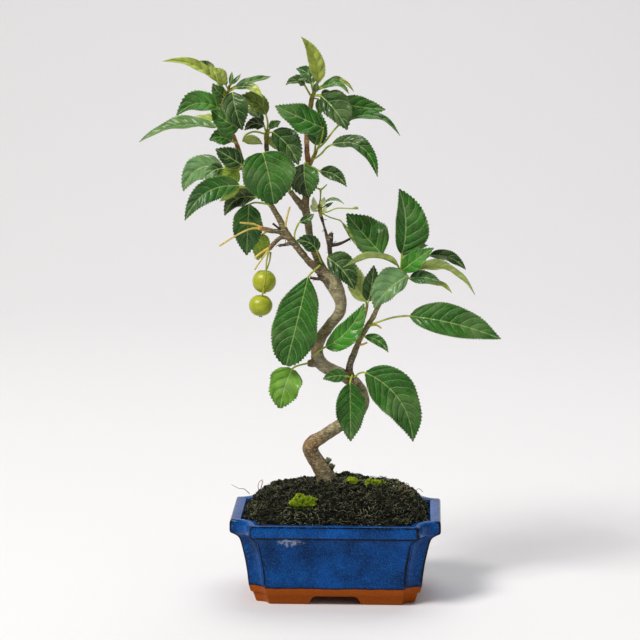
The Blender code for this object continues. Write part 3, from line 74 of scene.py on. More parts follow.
# Pot, in millimetres: the outside from the foot up to the rim's edge, as width, depth,
# how far each hollow corner reaches along the width and along the depth, and height
FLOOR_TOP = 13.0
POT_OUTSIDE = [
    (115.5, 74.5, 9.0, 7.0, 0.0), (117.0, 76.0, 9.4, 7.4, 0.7), (117.7, 76.7, 9.5, 7.5, 1.6),
    (119.6, 78.6, 10.0, 8.0, 4.6), (121.5, 80.5, 10.5, 8.5, 7.2), (122.4, 81.6, 11.0, 8.8, 7.7),
    (124.6, 84.1, 11.9, 9.4, 8.1), (125.2, 84.7, 12.1, 9.6, 8.8), (126.4, 85.9, 12.3, 9.8, 11.0),
    (127.6, 87.1, 12.5, 10.0, 13.0), (128.6, 88.0, 12.6, 10.4, 17.0),
    (129.9, 89.3, 12.8, 11.1, 23.0), (132.0, 91.5, 13.0, 12.0, 30.0),
    (134.2, 93.8, 13.3, 13.0, 35.5), (136.6, 96.4, 13.6, 14.1, 41.0),
    (139.0, 99.0, 14.0, 15.0, 46.0), (141.0, 101.0, 14.2, 15.7, 48.6),
    (144.0, 104.0, 14.5, 16.5, 50.5), (148.0, 108.0, 15.0, 17.8, 51.8),
    (152.4, 112.4, 15.6, 19.2, 53.0), (154.2, 114.2, 15.9, 19.8, 53.7),
    (155.0, 115.0, 16.0, 20.0, 54.9), (155.0, 115.0, 16.0, 20.0, 57.0),
    (155.0, 115.0, 16.0, 20.0, 59.6), (154.7, 114.7, 16.0, 20.0, 61.3),
    (153.6, 113.6, 15.8, 19.8, 62.5), (152.0, 112.0, 15.5, 19.5, 63.0),
]
POT_LIP = [
    (146.5, 106.5, 14.8, 18.4, 63.0), (141.4, 101.4, 14.1, 17.2, 62.9),
    (139.4, 99.4, 13.8, 16.8, 62.4), (138.2, 98.2, 13.5, 16.5, 61.0),
]
POT_INSIDE = [
    (134.0, 94.0, 13.0, 15.5, 54.0), (128.5, 88.5, 12.5, 14.0, 46.0),
    (118.5, 78.0, 12.0, 9.5, FLOOR_TOP),
]
# The recess below the floor as the outline above, without a height, and how deep it is
UNDERSIDE = (98.0, 58.0, 7.0, 6.0)
FOOT_RISE = 7.0
DRAIN_RADIUS = 6.5
DRAIN_SPACING = 56.0
# Gaps between the feet: width below and above, height, and the cutter's length
FRONT_GAP = (40.5, 32.0, 6.6, 240.0)
SIDE_GAP = (26.0, 19.0, 6.3, 320.0)
GAP_ROUND = 2.4
# How far the cutters reach past the foot, and the rounding beside a hollow corner
CUT_PAST = 1.0
CREASE_ROUND = 1.1
# Where the outline's points stand: along the front, round the hollow corner in degrees
# and along the side, closer together where the wall turns
FRONT_SHARES = (0.0, 0.2, 0.4, 0.58, 0.72, 0.82, 0.89, 0.94, 0.975, 1.0)
HOLLOW_TURNS = (8, 16, 25, 35, 45, 55, 65, 74, 82)
SIDE_SHARES = (1.0, 0.975, 0.93, 0.86, 0.76, 0.62, 0.44, 0.22)
# Edges that turn by more degrees than this are drawn hard
SHARP_FROM = 38

# Glaze, in millimetres: the height it stops at, and the bands of wear round the rim as
# height, width and strength; the corners wear over a width at the left and at the right
GLAZE_LINE = 13.0
WORN_BANDS = ((62.2, 0.7, 1.0), (53.8, 0.9, 1.0), (50.0, 1.0, 0.5))
WORN_CORNERS = (1.2, 1.7)
NEAR_WALL = 3.2
LIP_FROM = 61.5
LIP_WEAR = 0.1
# The mark left by hard water: its middle, its half size, and the depth it stays in front of
LIME_MARK = (-32.0, 50.0)
LIME_SIZE = (13.0, 5.5)
POT_FRONT = -40.0

# Soil, in millimetres: the height of its edge, how far its crown stands above that, its
# outline at the rim as the pot's, and the half size of the oval that it turns into
MOUND_EDGE = 60.0
MOUND_RISE = 27.0
MOUND_TOP = (136.0, 96.0, 13.2, 16.0)
MOUND_OVAL = (66.0, 46.5)
MOUND_RINGS = 46
MOUND_REACH = 0.985
# Dips across the mound: middle, width and depth; lumps: waves a millimetre, seed, height
MOUND_DIPS = ((-24.0, 20.0, 3.6), (26.0, 12.0, 3.0))
MOUND_LUMPS = ((0.24, 1.2, 3.2), (0.7, 5.2, 1.6))
CLEARANCE = 0.35
# Crumbs on the soil: piece, how many, least and greatest half size, and finish
CRUMBS = (
    ("soil_crumbs", 6000, (0.35, 2.5), "soil_crumbs"),
    ("green_crumbs", 900, (0.3, 1.1), "mossy_crumbs"),
    ("bark_chips", 70, (0.5, 1.2), "pine_bark_chips"),
    ("pale_fragments", 11, (0.6, 1.1), "pale_fragments"),
)
FIBRES = 2600

# Moss: how much higher the cushions stand than the frame's clumps, the shoots on a small
# and on a broad cushion and on a tuft, and the width in millimetres that makes one broad
MOSS_SWELL = 1.9
MOSS_SHOOTS = (600, 1500)
TUFT_SHOOTS = 110
BROAD_CUSHION = 15.0

# Leaves, in millimetres: rows of points for each tooth, and the teeth's spacing on
# leaves wider than each width
TOOTH_ROWS = 3
TOOTH_PITCHES = ((12.0, 2.1), (7.0, 1.6), (0.0, 1.1))
TOOTH_REACH = 0.62
LEAF_CELLS = 14
# Side veins: how far apart, how far they slant forward for each millimetre outwards, and
# how deep and broad they press into the blade, and the groove over the midrib likewise
NEXT_VEIN = 7.5
VEIN_SLANT = 0.85
VEIN_DEPTH = 0.55
VEIN_HALF_WIDTH = 1.3
GROOVE_DEPTH = 0.60
GROOVE_HALF_WIDTH = 1.1
# Leaves broader than this have a thick midrib
BROAD_LEAF = 12
# Half thickness of the stalks, and of those of leaves that are no wider than the last
STALK_RADIUS = 0.75
SMALL_STALK_RADIUS = 0.62
SMALL_LEAF_WIDTH = 7.0
# How far a spray's stem runs on into the bark that carries it
STEM_SINKS = 1.6

# Fruit, in millimetres, and the dimples at its ends as shares of the radius
FRUIT_RADIUS = 8.7
DIMPLE_DEPTH = 0.16
DIMPLE_WIDTH = 0.28
SEPALS = 5
SEPAL_LENGTH = 2.6

# Wood, in millimetres: the grain that its limbs are merged at; the ring round the pruned
# stub: its radius, its thickness, how far it stands out, and its lean to the front
WOOD_VOXEL = 0.52
SCAR_REACH = 2.4
SCAR_THICK = 0.75
SCAR_STANDS = 1.2
SCAR_LEAN = -1.6

# Wood: (across, up, depth, radius) along each limb, the trunk first
TRUNK = [
    (-7.0, 52.0, 0.0, 6.0), (-6.5, 72.0, 0.0, 7.6), (-8.0, 87.0, -1.0, 7.2),
    (-11.5, 94.0, -2.0, 6.4), (-17.0, 102.5, -3.0, 5.9), (-19.6, 109.0, -4.0, 6.0),
    (-17.0, 114.0, -4.0, 5.5), (-10.0, 118.3, -3.0, 4.8), (0.0, 125.0, 0.0, 4.7),
    (9.0, 130.5, 3.0, 4.6), (16.5, 136.5, 5.0, 4.5), (19.6, 144.0, 6.0, 4.5),
    (18.0, 152.5, 6.0, 4.6), (12.0, 159.5, 5.0, 4.9), (3.0, 165.0, 3.0, 4.8),
    (-7.5, 170.0, 1.0, 4.9), (-13.5, 176.0, 0.0, 4.8), (-14.6, 185.0, 0.0, 4.5),
    (-10.8, 194.0, 0.0, 4.2), (-4.0, 203.5, 0.0, 4.0), (1.5, 210.5, 0.0, 4.1),
    (3.0, 218.0, 0.0, 4.4), (0.8, 225.5, 0.0, 5.4), (-2.2, 232.0, 0.0, 6.2),
    (-7.5, 237.5, 0.0, 4.6), (-12.0, 242.0, 0.0, 4.0),
]
LEFT_LEADER = [
    (-9.5, 240.0, -0.5, 3.6), (-15.0, 244.5, -1.0, 3.2), (-21.5, 250.0, -2.0, 2.7),
    (-29.0, 259.5, -3.0, 2.6), (-36.5, 269.0, -3.5, 2.7), (-42.0, 280.0, -3.5, 2.35),
    (-47.5, 289.5, -3.5, 2.1), (-54.5, 298.5, -3.5, 1.6), (-61.5, 308.5, -3.5, 1.6),
    (-67.0, 318.0, -3.5, 1.6), (-70.5, 327.0, -3.5, 1.8), (-74.0, 337.0, -3.5, 1.75),
    (-76.3, 342.6, -3.5, 1.7),
]
RIGHT_LEADER = [
    (-9.0, 241.0, 1.5, 3.4), (-12.5, 247.5, 3.0, 3.0), (-16.5, 257.0, 4.0, 2.8),
    (-20.0, 268.0, 4.0, 2.7), (-21.3, 279.0, 4.0, 2.7), (-23.0, 288.0, 4.0, 3.0),
    (-22.8, 297.0, 4.5, 2.6), (-22.0, 309.0, 5.0, 2.3), (-21.0, 320.0, 5.0, 2.3),
    (-22.0, 334.0, 5.0, 2.0), (-21.6, 345.5, 5.0, 1.8), (-20.0, 356.0, 5.0, 1.8),
    (-19.1, 364.2, 5.0, 1.9),
]
FORK_STUB = [(-22.8, 287.0, 4.0, 2.6), (-27.5, 292.0, 3.0, 2.5), (-34.0, 300.8, 1.0, 2.1)]
SECOND_TWIG = [
    (-46.5, 288.0, -2.5, 1.5), (-50.5, 296.0, 3.0, 1.4), (-51.5, 308.0, 6.0, 1.5),
    (-51.0, 322.0, 6.0, 1.6), (-51.5, 336.5, 6.0, 1.7),
]
DEAD_SPUR = [
    (-1.5, 232.0, 2.0, 3.4), (-2.6, 240.0, 3.0, 2.2), (-4.8, 248.0, 4.0, 1.8),
    (-5.0, 256.0, 4.0, 1.8), (-5.8, 263.0, 4.0, 1.9), (-8.0, 269.5, 4.0, 1.3),
    (-10.0, 277.0, 4.0, 1.1), (-11.8, 283.0, 4.0, 1.4),
]
DEAD_STUB = [(-5.4, 260.0, 4.0, 1.6), (-4.4, 265.0, 4.2, 1.7), (-4.0, 270.6, 4.4, 1.6)]
DEAD_TWIG = [(-5, 261, 4, 1.4), (0.5, 262, 6, 1.3), (6, 264.2, 8, 1), (12.4, 268, 10, 0.8)]
RIGHT_BRANCH = [
    (11.0, 160.0, 4.5, 3.6), (9.2, 167.0, 2.0, 2.9), (10.2, 174.0, 1.0, 2.6),
    (13.0, 182.0, 0.0, 2.4), (16.5, 190.5, 0.0, 2.15), (22.0, 200.5, 0.0, 2.2),
    (27.5, 209.5, 0.0, 1.9), (31.0, 217.5, 1.0, 1.7), (36.0, 225.5, 2.0, 1.5),
    (41.5, 233.0, 2.5, 1.45), (45.6, 239.2, 2.5, 1.5),
]
SPUR_A = [
    (-37.5, 269.5, -3.5, 2.4), (-42.5, 271.0, -5.0, 1.9), (-48.0, 271.7, -6.0, 1.8),
    (-53.0, 272.8, -7.0, 1.9), (-57.5, 274.0, -8.0, 1.9),
]
SPUR_B = [
    (-36.5, 267.5, -3.5, 2.2), (-41.5, 266.5, -6.0, 1.7), (-46.0, 262.5, -8.0, 1.7),
    (-49.6, 258.0, -9.0, 1.6),
]
SPUR_C = [(-32.5, 263.0, -3.0, 1.9), (-37.0, 261.8, -5.0, 1.4), (-43.0, 260.6, -7.0, 1.3)]
LOWER_SPUR = [
    (-6.5, 234, 0, 2.8), (-11.5, 236, -2, 1.4), (-15, 236.3, -3, 1.2), (-20, 237.2, -4, 1.2),
]
PRUNED_STUB = [(-15.5, 185.0, 0.0, 3.4), (-18.0, 186.2, -1.5, 3.1), (-19.4, 186.8, -2.3, 2.7)]
BROKEN_STUB = [(-13.0, 174.0, 0.0, 3.6), (-19.0, 173.2, -1.0, 2.9), (-21.8, 173.2, -1.4, 2.2)]
SIDE_KNOB = [(11.0, 161.0, 4.0, 3.4), (14.5, 159.5, -0.5, 2.7), (15.8, 157.6, -2.8, 2.2)]
DEAD_TWIG_LEFT = [(-39.0, 271.0, -3.5, 1.0), (-42.5, 273.6, -5.5, 0.8), (-47.0, 277.0, -7.5, 0.8)]
UPRIGHT_STALK = [
    (-38.2, 273, -4, 1), (-37.4, 278, -5.5, 0.8), (-36.2, 283.5, -6.5, 0.7), (-34.6, 289.3, -7.5, 0.7),
]
LONG_STALK = [
    (-56, 273.6, -7.5, 0.9), (-62, 273.3, -9.5, 0.7), (-68, 271.2, -11, 0.65),
    (-76.5, 266.5, -13, 0.65), (-86.3, 260.3, -15, 0.75),
]
SHORT_STALK = [(-56.5, 274.4, -8.0, 0.9), (-61.0, 276.6, -9.5, 0.75), (-71.3, 277.6, -11.5, 0.65)]
SPENT_STALK = [(-48.4, 258.8, -8.0, 1.0), (-53.5, 253.2, -5.5, 0.65), (-60.5, 242.8, -3.5, 0.6)]
STALK_STUB = [(-48.8, 259.4, -9.0, 1.0), (-53.5, 256.8, -9.5, 0.9), (-60.6, 251.5, -10.5, 0.75)]
BRANCH_TWIG = [(23.5, 202.0, 0.0, 1.3), (29.0, 202.2, -1.5, 0.75), (32.8, 199.6, -2.5, 0.6)]
LEAF_SPUR = [(15.5, 188.0, 0.0, 1.6), (18.5, 187.4, -1.5, 0.8), (22.3, 189.0, -2.5, 0.7)]

# Leaves, as stalk places, base, middle and tip (across, up, depth), width in
# millimetres, tilt and fold in degrees, and how much wider the upper or right half is.
# Tilt turns the upper side up from facing the front; past 90 the underside shows.
# The last word is its outline, as how fast it widens from the base and narrows to
# the tip.
FINE = (0.75, 1.1)
BROAD = (0.62, 1.0)
ROUND = (0.42, 0.75)
LOW = (0.8, 0.62)
SPRAYS = {
    "left_crown_spray": {
        "stem": [(-76.5, 343.1, -3.5, 1.6), (-79.0, 349.0, -3.5, 1.5), (-81.2, 355.5, -3.5, 1.5),
                 (-83.3, 362.0, -3.5, 1.9), (-82.0, 367.5, -3.5, 1.4), (-79.4, 373.0, -3.5, 1.1),
                 (-78.4, 378.0, -3.5, 0.8)],
        "leaves": [
            ([(-80.8, 370.5, -3.5), (-84, 375, -6)],
             (-87, 380.5, -8), (-107, 394, -14), (-127, 395.3, -18), 8.5, 35, 25, 0, FINE),
            ([(-80.5, 371.5, -3.5)],
             (-88, 383, 0), (-94.5, 392, 3), (-101.5, 395.5, 6), 8, 20, 20, 0, FINE),
            ([(-80, 372, -3.5)],
             (-84, 378, -9), (-84.8, 386, -12), (-90.5, 390.6, -14), 9, 25, 15, 0, FINE),
            ([(-79, 375, -3.5)],
             (-80.8, 378, -5), (-81.6, 382, -6), (-82, 386, -6), 3.6, 0, 15, 0, FINE),
            ([(-78.4, 377, -3.5)],
             (-77.8, 379, -3.5), (-77, 383.5, -3), (-76.4, 388, -2), 3.2, 0, 10, 0, FINE),
            ([(-78.4, 377, -3.5)],
             (-76.8, 379, -1), (-74.5, 381.2, 0), (-70, 386.3, 2), 3, 10, 10, 0, FINE),
            ([(-79.2, 374.5, -3.5)],
             (-73.5, 377.8, -1), (-61, 381.6, 4), (-48.3, 384.6, 10), 8, 50, 15, 0, FINE),
            ([(-79.4, 373.5, -3.5)],
             (-74, 376.2, -6), (-62.5, 376.6, -12), (-54, 369.3, -16), 8, 35, 15, 0, FINE),
            ([(-81.5, 369, -3.5)],
             (-82.8, 371, -8), (-87, 374, -12), (-90.3, 379.5, -14), 9.5, 5, 15, 0, FINE),
            ([(-82.5, 366, -3.5)],
             (-82.5, 368, 0), (-86, 370, 3), (-90.5, 374.5, 6), 10, 5, 10, 0, FINE),
            ([(-83.2, 361, -3.5)],
             (-84, 362, 0), (-86.4, 366, 2), (-88.3, 371.5, 4), 5, 0, 10, 0, FINE),
            ([(-83.2, 361.5, -3.5)],
             (-86.5, 361.8, -8), (-103, 365, -16), (-117, 356, -20), 19, 36, 20, 0, BROAD),
            ([(-80.6, 353.5, -3.5)],
             (-89, 347.5, 0), (-117.5, 348.4, 5), (-144.5, 336.5, 2), 15, 58, 18, 0, BROAD),
            ([(-81, 355, -3.5)],
             (-88, 353.4, 6), (-98, 353.4, 12), (-109.3, 350.2, 16), 9, 45, 15, 0, FINE),
            ([(-80.8, 369.5, -3.5)],
             (-76, 373, -10), (-74, 361, -16), (-69, 345.8, -14), 19, 10, 15, 0, BROAD),
            ([(-78.4, 347.5, -3.5)],
             (-72, 347, -8), (-80.5, 352, -13), (-91.3, 360, -12), 21, 8, 12, 0, BROAD),
        ],
    },
    "second_twig_spray": {
        "stem": [(-51.5, 337.1, 6.0, 1.6), (-51.5, 341.0, 6.0, 1.9), (-50.6, 345.5, 6.0, 1.6)],
        "leaves": [
            ([(-50.8, 345, 6), (-50.5, 351, 5)],
             (-51.8, 357, 3), (-58, 366, -1), (-74.3, 367.2, -2), 14, 22, 18, 0, FINE),
            ([(-51.5, 344, 6)],
             (-54.2, 351.5, 8), (-60.5, 358.5, 12), (-69.7, 362.8, 16), 10, 45, 15, 0, FINE),
            ([(-51.5, 343, 6)],
             (-53.2, 348.5, 2), (-60, 350.3, -2), (-67.5, 345.3, -4), 9.5, 15, 15, 0, FINE),
            ([(-51.5, 342.5, 6), (-60, 344.5, 4), (-66.5, 342, 2)],
             (-68.7, 337.5, 1), (-62, 338.2, 1.5), (-54.5, 335.3, 3), 8, 160, 15, 0, FINE),
            ([(-50.8, 345, 6)],
             (-49, 346.5, 8), (-46, 349.5, 10), (-41, 352, 12), 7, 30, 15, 0, FINE),
            ([(-51.5, 341.5, 6)],
             (-49.5, 340.5, 10), (-46, 336.5, 12), (-43, 331, 14), 9, 165, 10, 0, FINE),
            ([(-51, 343.5, 6)],
             (-46.8, 344.3, 2), (-36, 334.5, -2), (-28.3, 320.3, -3.5), 19.5, 10, 12, 0.1, BROAD),
        ],
    },
    "right_crown_spray": {
        "stem": [(-18.9, 364.9, 5, 1.9), (-18.4, 368.5, 5, 1.8), (-17, 372.5, 4, 1.5),
                 (-14.8, 376.5, 3, 1.1)],
        "leaves": [
            ([(-15.5, 375.5, 3.2)],
             (-14, 380, 2), (-15.8, 397, -3), (-26, 413.3, -8), 13.5, 5, 28, 0, FINE),
            ([(-17, 373, 4)],
             (-17.8, 379.5, 6), (-21.5, 387, 9), (-29.8, 390.2, 12), 11, 25, 15, 0, FINE),
            ([(-18.2, 369.5, 4.8), (-20.5, 373, 2)],
             (-23.5, 378.4, -1), (-30, 381.3, -5), (-37.3, 378.6, -8), 9.5, 45, 20, 0, FINE),
            ([(-17.3, 372, 4)],
             (-19, 379.8, 0), (-23.5, 383.3, -3), (-28.6, 381.8, -5), 6.5, 20, 15, 0, FINE),
            ([(-16.5, 373.5, 3.8)],
             (-14.8, 374, -1), (-15.3, 377, -3), (-15, 380.5, -4), 5, 0, 10, 0, FINE),
            ([(-16.2, 374.5, 3.5)],
             (-11.5, 376.2, 0), (-1, 379.4, -5), (8.6, 372.4, -9), 8.5, 48, 15, 0, FINE),
            ([(-16, 375, 3.5)],
             (-10.5, 378.5, 6), (1, 382.3, 11), (12, 374, 15), 7.5, 62, 10, 0, FINE),
            ([(-17.6, 371, 4.5)],
             (-11.5, 370.5, -2), (-1, 359.5, -9), (7.2, 346, -11), 21, 8, 12, 0.25, BROAD),
            ([(-17.6, 371, 4.5), (-9, 370, 8)],
             (0, 366, 12), (19, 362.5, 17), (35, 361, 18), 16, 14, 10, 0, BROAD),
            ([(-17.6, 371, 4.5)],
             (-11.5, 371.5, 10), (-8, 373, 13), (-4.8, 374, 15), 5.5, 0, 10, 0, FINE),
            ([(-18.2, 369, 5)],
             (-13.8, 368.5, 5), (-12.8, 362.5, 7), (-12.2, 356, 8), 5.5, 0, 10, 0, FINE),
        ],
    },
    "right_middle_spray": {
        "stem": [(-18.6, 322.3, 3.4, 1.2), (-17.4, 325.8, 1.5, 1.4), (-15.2, 330, 0.5, 1.1),
                 (-14.4, 332, 0.5, 0.9)],
        "leaves": [
            ([(-17, 326.5, 1.5), (-16.2, 331, 0.5)],
             (-15.7, 335.2, 0), (-13.8, 345, -1), (-11.5, 357.3, 0), 15.5, 0, 15, 0, BROAD),
            ([(-14.6, 331.5, 0.5), (-8.5, 337.5, -3), (-3, 345, -5)],
             (2.8, 351, 0), (28, 356.3, 3), (45.7, 342, 4), 11, 58, 12, 0, FINE),
            ([(-15, 330.5, 0.5), (-11.5, 339, -6)],
             (-10, 347.5, -9), (-28, 355.6, -16), (-45, 363.3, -14), 23, 30, 12, -0.1, BROAD),
            ([(-18, 324, 2), (-12, 328, -3), (-7.5, 333, -7)],
             (-3.5, 335.4, -10), (16, 334.8, -18), (29.5, 311.8, -22), 13.5, 32, 15, 0, BROAD),
        ],
    },
    "bud_cluster": {
        "stem": [(-12.0, 283.9, 3.9, 1.3), (-12.4, 287.5, 3.5, 1.7), (-13.0, 291.0, 3.0, 1.5)],
        "leaves": [
            ([(-12.6, 288, 3.5)],
             (-14.5, 288.5, 1), (-16.6, 292, -1), (-17.3, 296.8, -2), 4, 0, 12, 0, FINE),
            ([(-12.8, 289.5, 3)],
             (-11.6, 290.5, 0), (-10.2, 293, -1), (-9.2, 296.6, -1), 4, 0, 12, 0, FINE),
            ([(-12.6, 287, 3.5)],
             (-15, 286.4, 2.4), (-17.2, 287.9, 1.4), (-19.2, 291.2, 1), 3.6, 0, 10, 0, FINE),
            ([(-12.6, 289, 3)],
             (-9, 293, 0), (-2, 295.4, -2), (5, 291.9, -3), 2.6, 40, 10, 0, FINE),
            ([(-12.6, 288.6, 3.3)],
             (-9.5, 289.5, 2), (-6.5, 290.8, 1), (-3, 293, 1), 2.6, 10, 10, 0, FINE),
            ([(-12.4, 286, 3.5)],
             (-10.6, 285, 0), (-9, 287.5, -2), (-8, 290, -3), 3, 0, 10, 0, FINE),
            ([(2.2, 279.8, 6.8)],
             (3.6, 278.4, 6.5), (8.8, 270.4, 4.5), (15.2, 259.8, 2), 3.4, 30, 20, 0, FINE),
        ],
        "stalks": [
            [(-13, 290.5, 3, 0.8), (-12.2, 295, 2, 0.6), (-12, 300.5, 2, 0.7),
             (-12, 302.8, 2, 1.3)],
            [(-12.0, 302.2, 2.0, 0.8), (-14.5, 303.2, 1.0, 0.6), (-17.0, 303.4, 0.0, 0.4)],
            [(-12.0, 302.2, 2.0, 0.8), (-10.0, 303.4, 1.0, 0.6), (-7.4, 306.0, 0.0, 0.4)],
            [(-12.4, 285.5, 3.5, 0.8), (-7, 285.8, 1, 0.5), (0, 288.6, -1, 0.5),
             (10.5, 288.4, -3, 0.5), (13.8, 288.9, -3.5, 1.1), (15.4, 288.3, -3.5, 0.5)],
            [(-12.4, 286, 3.5, 0.8), (-9.3, 284, 3.5, 0.5), (-5, 281.8, 5, 0.5),
             (2.8, 279.6, 7, 0.5)],
        ],
    },
    "left_middle_spray": {
        "stem": [(-67.3, 317.0, -5.6, 1.0), (-69.0, 317.3, -8.5, 1.2), (-71.5, 317.2, -10.0, 0.9)],
        "leaves": [
            ([(-69, 317.4, -8.5)],
             (-69.5, 320, -9.5), (-78, 325.5, -11.5), (-88.6, 331.6, -12), 15.5, 5, 12, 0, BROAD),
            ([(-71, 317.2, -10), (-77, 317.6, -9)],
             (-84, 318.3, -7), (-102.5, 316.8, -2), (-112.5, 300.6, 2), 18, 20, 12, 0, BROAD),
            ([(-71, 317.2, -10), (-77, 317, -11)],
             (-83, 317.5, -12.5), (-90.5, 315.8, -14.5), (-96.5, 309.3, -15), 10, 15, 12, 0, FINE),
            ([(-71, 317.2, -10)],
             (-72, 315.6, -9.5), (-79.5, 312, -7), (-89.5, 308.4, -5), 15, 178, 8, 0, ROUND),
        ],
    },
    "leader_side_leaf": {
        "stem": [(-74.2, 336.6, -5.2, 0.8), (-75.6, 337.0, -7.0, 0.7)],
        "leaves": [
            ([], (-77.2, 337.2, -7.5), (-85, 340.6, -9), (-93, 338, -9), 12.5, 12, 12, 0, BROAD),
        ],
    },
    "left_long_leaf_spray": {
        "stem": [(-56.2, 297.8, -5.4, 0.8), (-60.5, 300.6, -9.0, 0.8), (-65.5, 303.6, -12.0, 0.8)],
        "leaves": [
            ([(-65, 303.3, -11.7)],
             (-71.5, 304.8, -14), (-95.5, 299.8, -22), (-111.5, 279, -24), 17.5, 12, 12, 0, BROAD),
            ([(-65, 303.3, -11.7), (-68.5, 303.6, -11.5)],
             (-71.5, 303.2, -11.7), (-77.5, 299, -12.5), (-86, 293.2, -13.5), 6, 170, 10, 0, FINE),
        ],
    },
    "left_dark_leaf": {
        "stem": [(-53.8, 295.2, -5.2, 0.8), (-56.5, 295.8, -7.0, 0.7)],
        "leaves": [
            ([], (-59.5, 296.4, -8), (-73, 295.2, -9), (-82.3, 282.8, -8), 15, 25, 12, 0, BROAD),
        ],
    },
    "left_hanging_leaf": {
        "stem": [(-49.6, 291.0, -4.8, 0.8), (-53.5, 291.8, -4.4, 0.7), (-60.0, 292.4, -2.4, 0.7)],
        "leaves": [
            ([], (-64.5, 291, -1), (-65.5, 273.5, 0), (-66.3, 253.5, 0), 23, 5, 8, 0, BROAD),
        ],
    },
    "front_leaf": {
        "stem": [(-34.6, 301.6, 0.8, 0.9), (-34, 309, 1.5, 0.8), (-38, 320, 1, 0.8),
                 (-46, 329, -3, 0.8)],
        "leaves": [
            ([], (-54, 329, -8), (-50.5, 315, -14), (-46.2, 291.3, -12), 41, 12, 8, 0, ROUND),
        ],
    },
    "dark_fold_leaf": {
        "stem": [(-22.0, 321.5, 1.8, 0.9), (-23.0, 321.8, -0.5, 0.8)],
        "leaves": [
            ([], (-24, 320.6, -3), (-23.6, 309, -5.5), (-20.6, 296.3, -5), 23.5, 0, 22, 0, BROAD),
        ],
    },
    "right_small_leaf": {
        "stem": [(-19.4, 318.2, 2.4, 0.8), (-17.5, 318.6, 0.0, 0.7)],
        "leaves": [
            ([], (-12.5, 315.6, -3), (-2, 313.4, -9), (7, 304.4, -12), 10.5, 20, 15, 0, FINE),
        ],
    },
    "spur_leaf": {
        "stem": [(-30.9, 264.4, -2.8, 0.6), (-31.0, 270.0, -3.5, 0.6), (-28.8, 276.0, -5.0, 0.7)],
        "leaves": [
            ([], (-27.3, 278.2, -5), (-22.5, 280.2, -4), (-16.8, 284.3, -3), 6.5, 10, 12, 0, FINE),
        ],
    },
    "leader_leaf": {
        "stem": [(-11.5, 247.6, 1.6, 0.8), (-11.8, 249.0, -1.2, 0.7), (-13.0, 252.0, -3.0, 0.6)],
        "leaves": [
            ([], (-14.6, 256.8, -5), (-21, 263.4, -8), (-30, 264, -9), 13, 12, 12, 0, BROAD),
        ],
    },
    "dead_spur_leaf": {
        "stem": [(-4.9, 252.3, 1.7, 0.8), (-6.0, 252.8, -1.5, 0.8)],
        "leaves": [
            ([], (-7, 252, -3), (3.5, 243.5, -8), (12.8, 228.3, -9), 18, 5, 12, 0.2, BROAD),
        ],
    },
    "right_branch_spray": {
        "stem": [(46.1, 239.9, 2.5, 1.5), (46.6, 241.5, 2.2, 1.9), (46.2, 243.4, 2.0, 1.3)],
        "leaves": [
            ([(46.2, 242.8, 2), (42, 250, 4)],
             (33, 254.8, 7), (20.5, 268.5, 12), (7, 284.6, 16), 29, 20, 12, 0.15, BROAD),
            ([(46.6, 242, 2), (47.2, 249, -1)],
             (47.5, 255, -2), (50.2, 276, -5), (45.3, 303, -2), 25, 10, 12, 0.35, BROAD),
            ([(46.8, 241.5, 2)],
             (48.2, 243, -5), (58, 251, -11), (70.8, 259.6, -14), 14, 15, 15, 0, BROAD),
            ([(46.8, 241.8, 2.2)],
             (48.5, 252.5, 8), (56.5, 259, 12), (66.5, 261.6, 15), 8, 20, 10, 0, FINE),
            ([(46.8, 241.5, 2.4), (57, 249, 6)],
             (68, 254, 7), (83, 252.6, 8), (94.4, 243.8, 8), 10.5, 35, 12, 0, BROAD),
            ([(46.8, 241, 2.2)],
             (53.5, 241.8, 0), (78, 245.6, -4), (101.2, 225.2, -4), 13, 118, 10, 0, BROAD),
            ([(46.8, 241, 2)],
             (53.5, 237, -6), (64, 237.8, -10), (76, 234.3, -12), 10.5, 20, 12, 0, BROAD),
            ([(46.8, 240.8, 2.2), (57, 235, 3)],
             (66, 233.6, 2), (77, 232.6, 0), (84.3, 226.5, -2), 5.5, 40, 12, 0, FINE),
            ([(46.6, 241, 1.6)],
             (52, 239, -10), (39.5, 230.5, -14), (27.5, 214.8, -12), 21, 10, 10, 0.25, BROAD),
            ([(46.2, 242.6, 1.6)],
             (44.5, 247, -4), (28, 253.2, -15), (4.5, 245, -18), 12.5, 112, 12, 0, FINE),
        ],
    },
    "branch_leaf_pair": {
        "stem": [(16.9, 192.5, -2.6, 0.8), (18.6, 201, -3, 0.75), (21.3, 211, -3.5, 0.9),
                 (22.3, 217.5, -4, 1.1)],
        "leaves": [
            ([(22, 216.5, -4)],
             (21.3, 220, -5), (14.5, 234, -5), (12.5, 249, -3), 15.5, 172, 8, 0, BROAD),
            ([(22.2, 216.8, -4)],
             (23.2, 220, -6), (25.5, 232, -8.5), (27, 246.5, -8), 13.5, 5, 12, 0, BROAD),
        ],
    },
    "long_right_leaf": {
        "stem": [(24.5, 202.2, -2.6, 0.9), (31, 204.6, -5, 0.75), (41, 207.8, -7, 0.7),
                 (50, 209, -8, 0.75)],
        "leaves": [
            ([], (54, 209, -8.5), (86, 203.6, -14), (120.6, 192.4, -12), 24.5, 12, 10, 0.12, BROAD),
        ],
    },
    "branch_small_leaf": {
        "stem": [(18.6, 193.6, -2.2, 0.7), (19.8, 193.9, -4.0, 0.6)],
        "leaves": [
            ([], (20.5, 193.4, -5), (30, 190.6, -8), (38, 181.8, -10), 8, 15, 12, 0, FINE),
        ],
    },
    "trunk_leaf_right": {
        "stem": [(-16.4, 178.6, -2.0, 0.8), (-15.6, 180.6, -6.4, 0.7), (-11.5, 183.6, -7.6, 0.7)],
        "leaves": [
            ([], (-8, 185.6, -7.5), (6.5, 196.6, -9.5), (19.8, 218.2, -8), 18, 8, 12, -0.2, BROAD),
        ],
    },
    "big_hanging_leaf": {
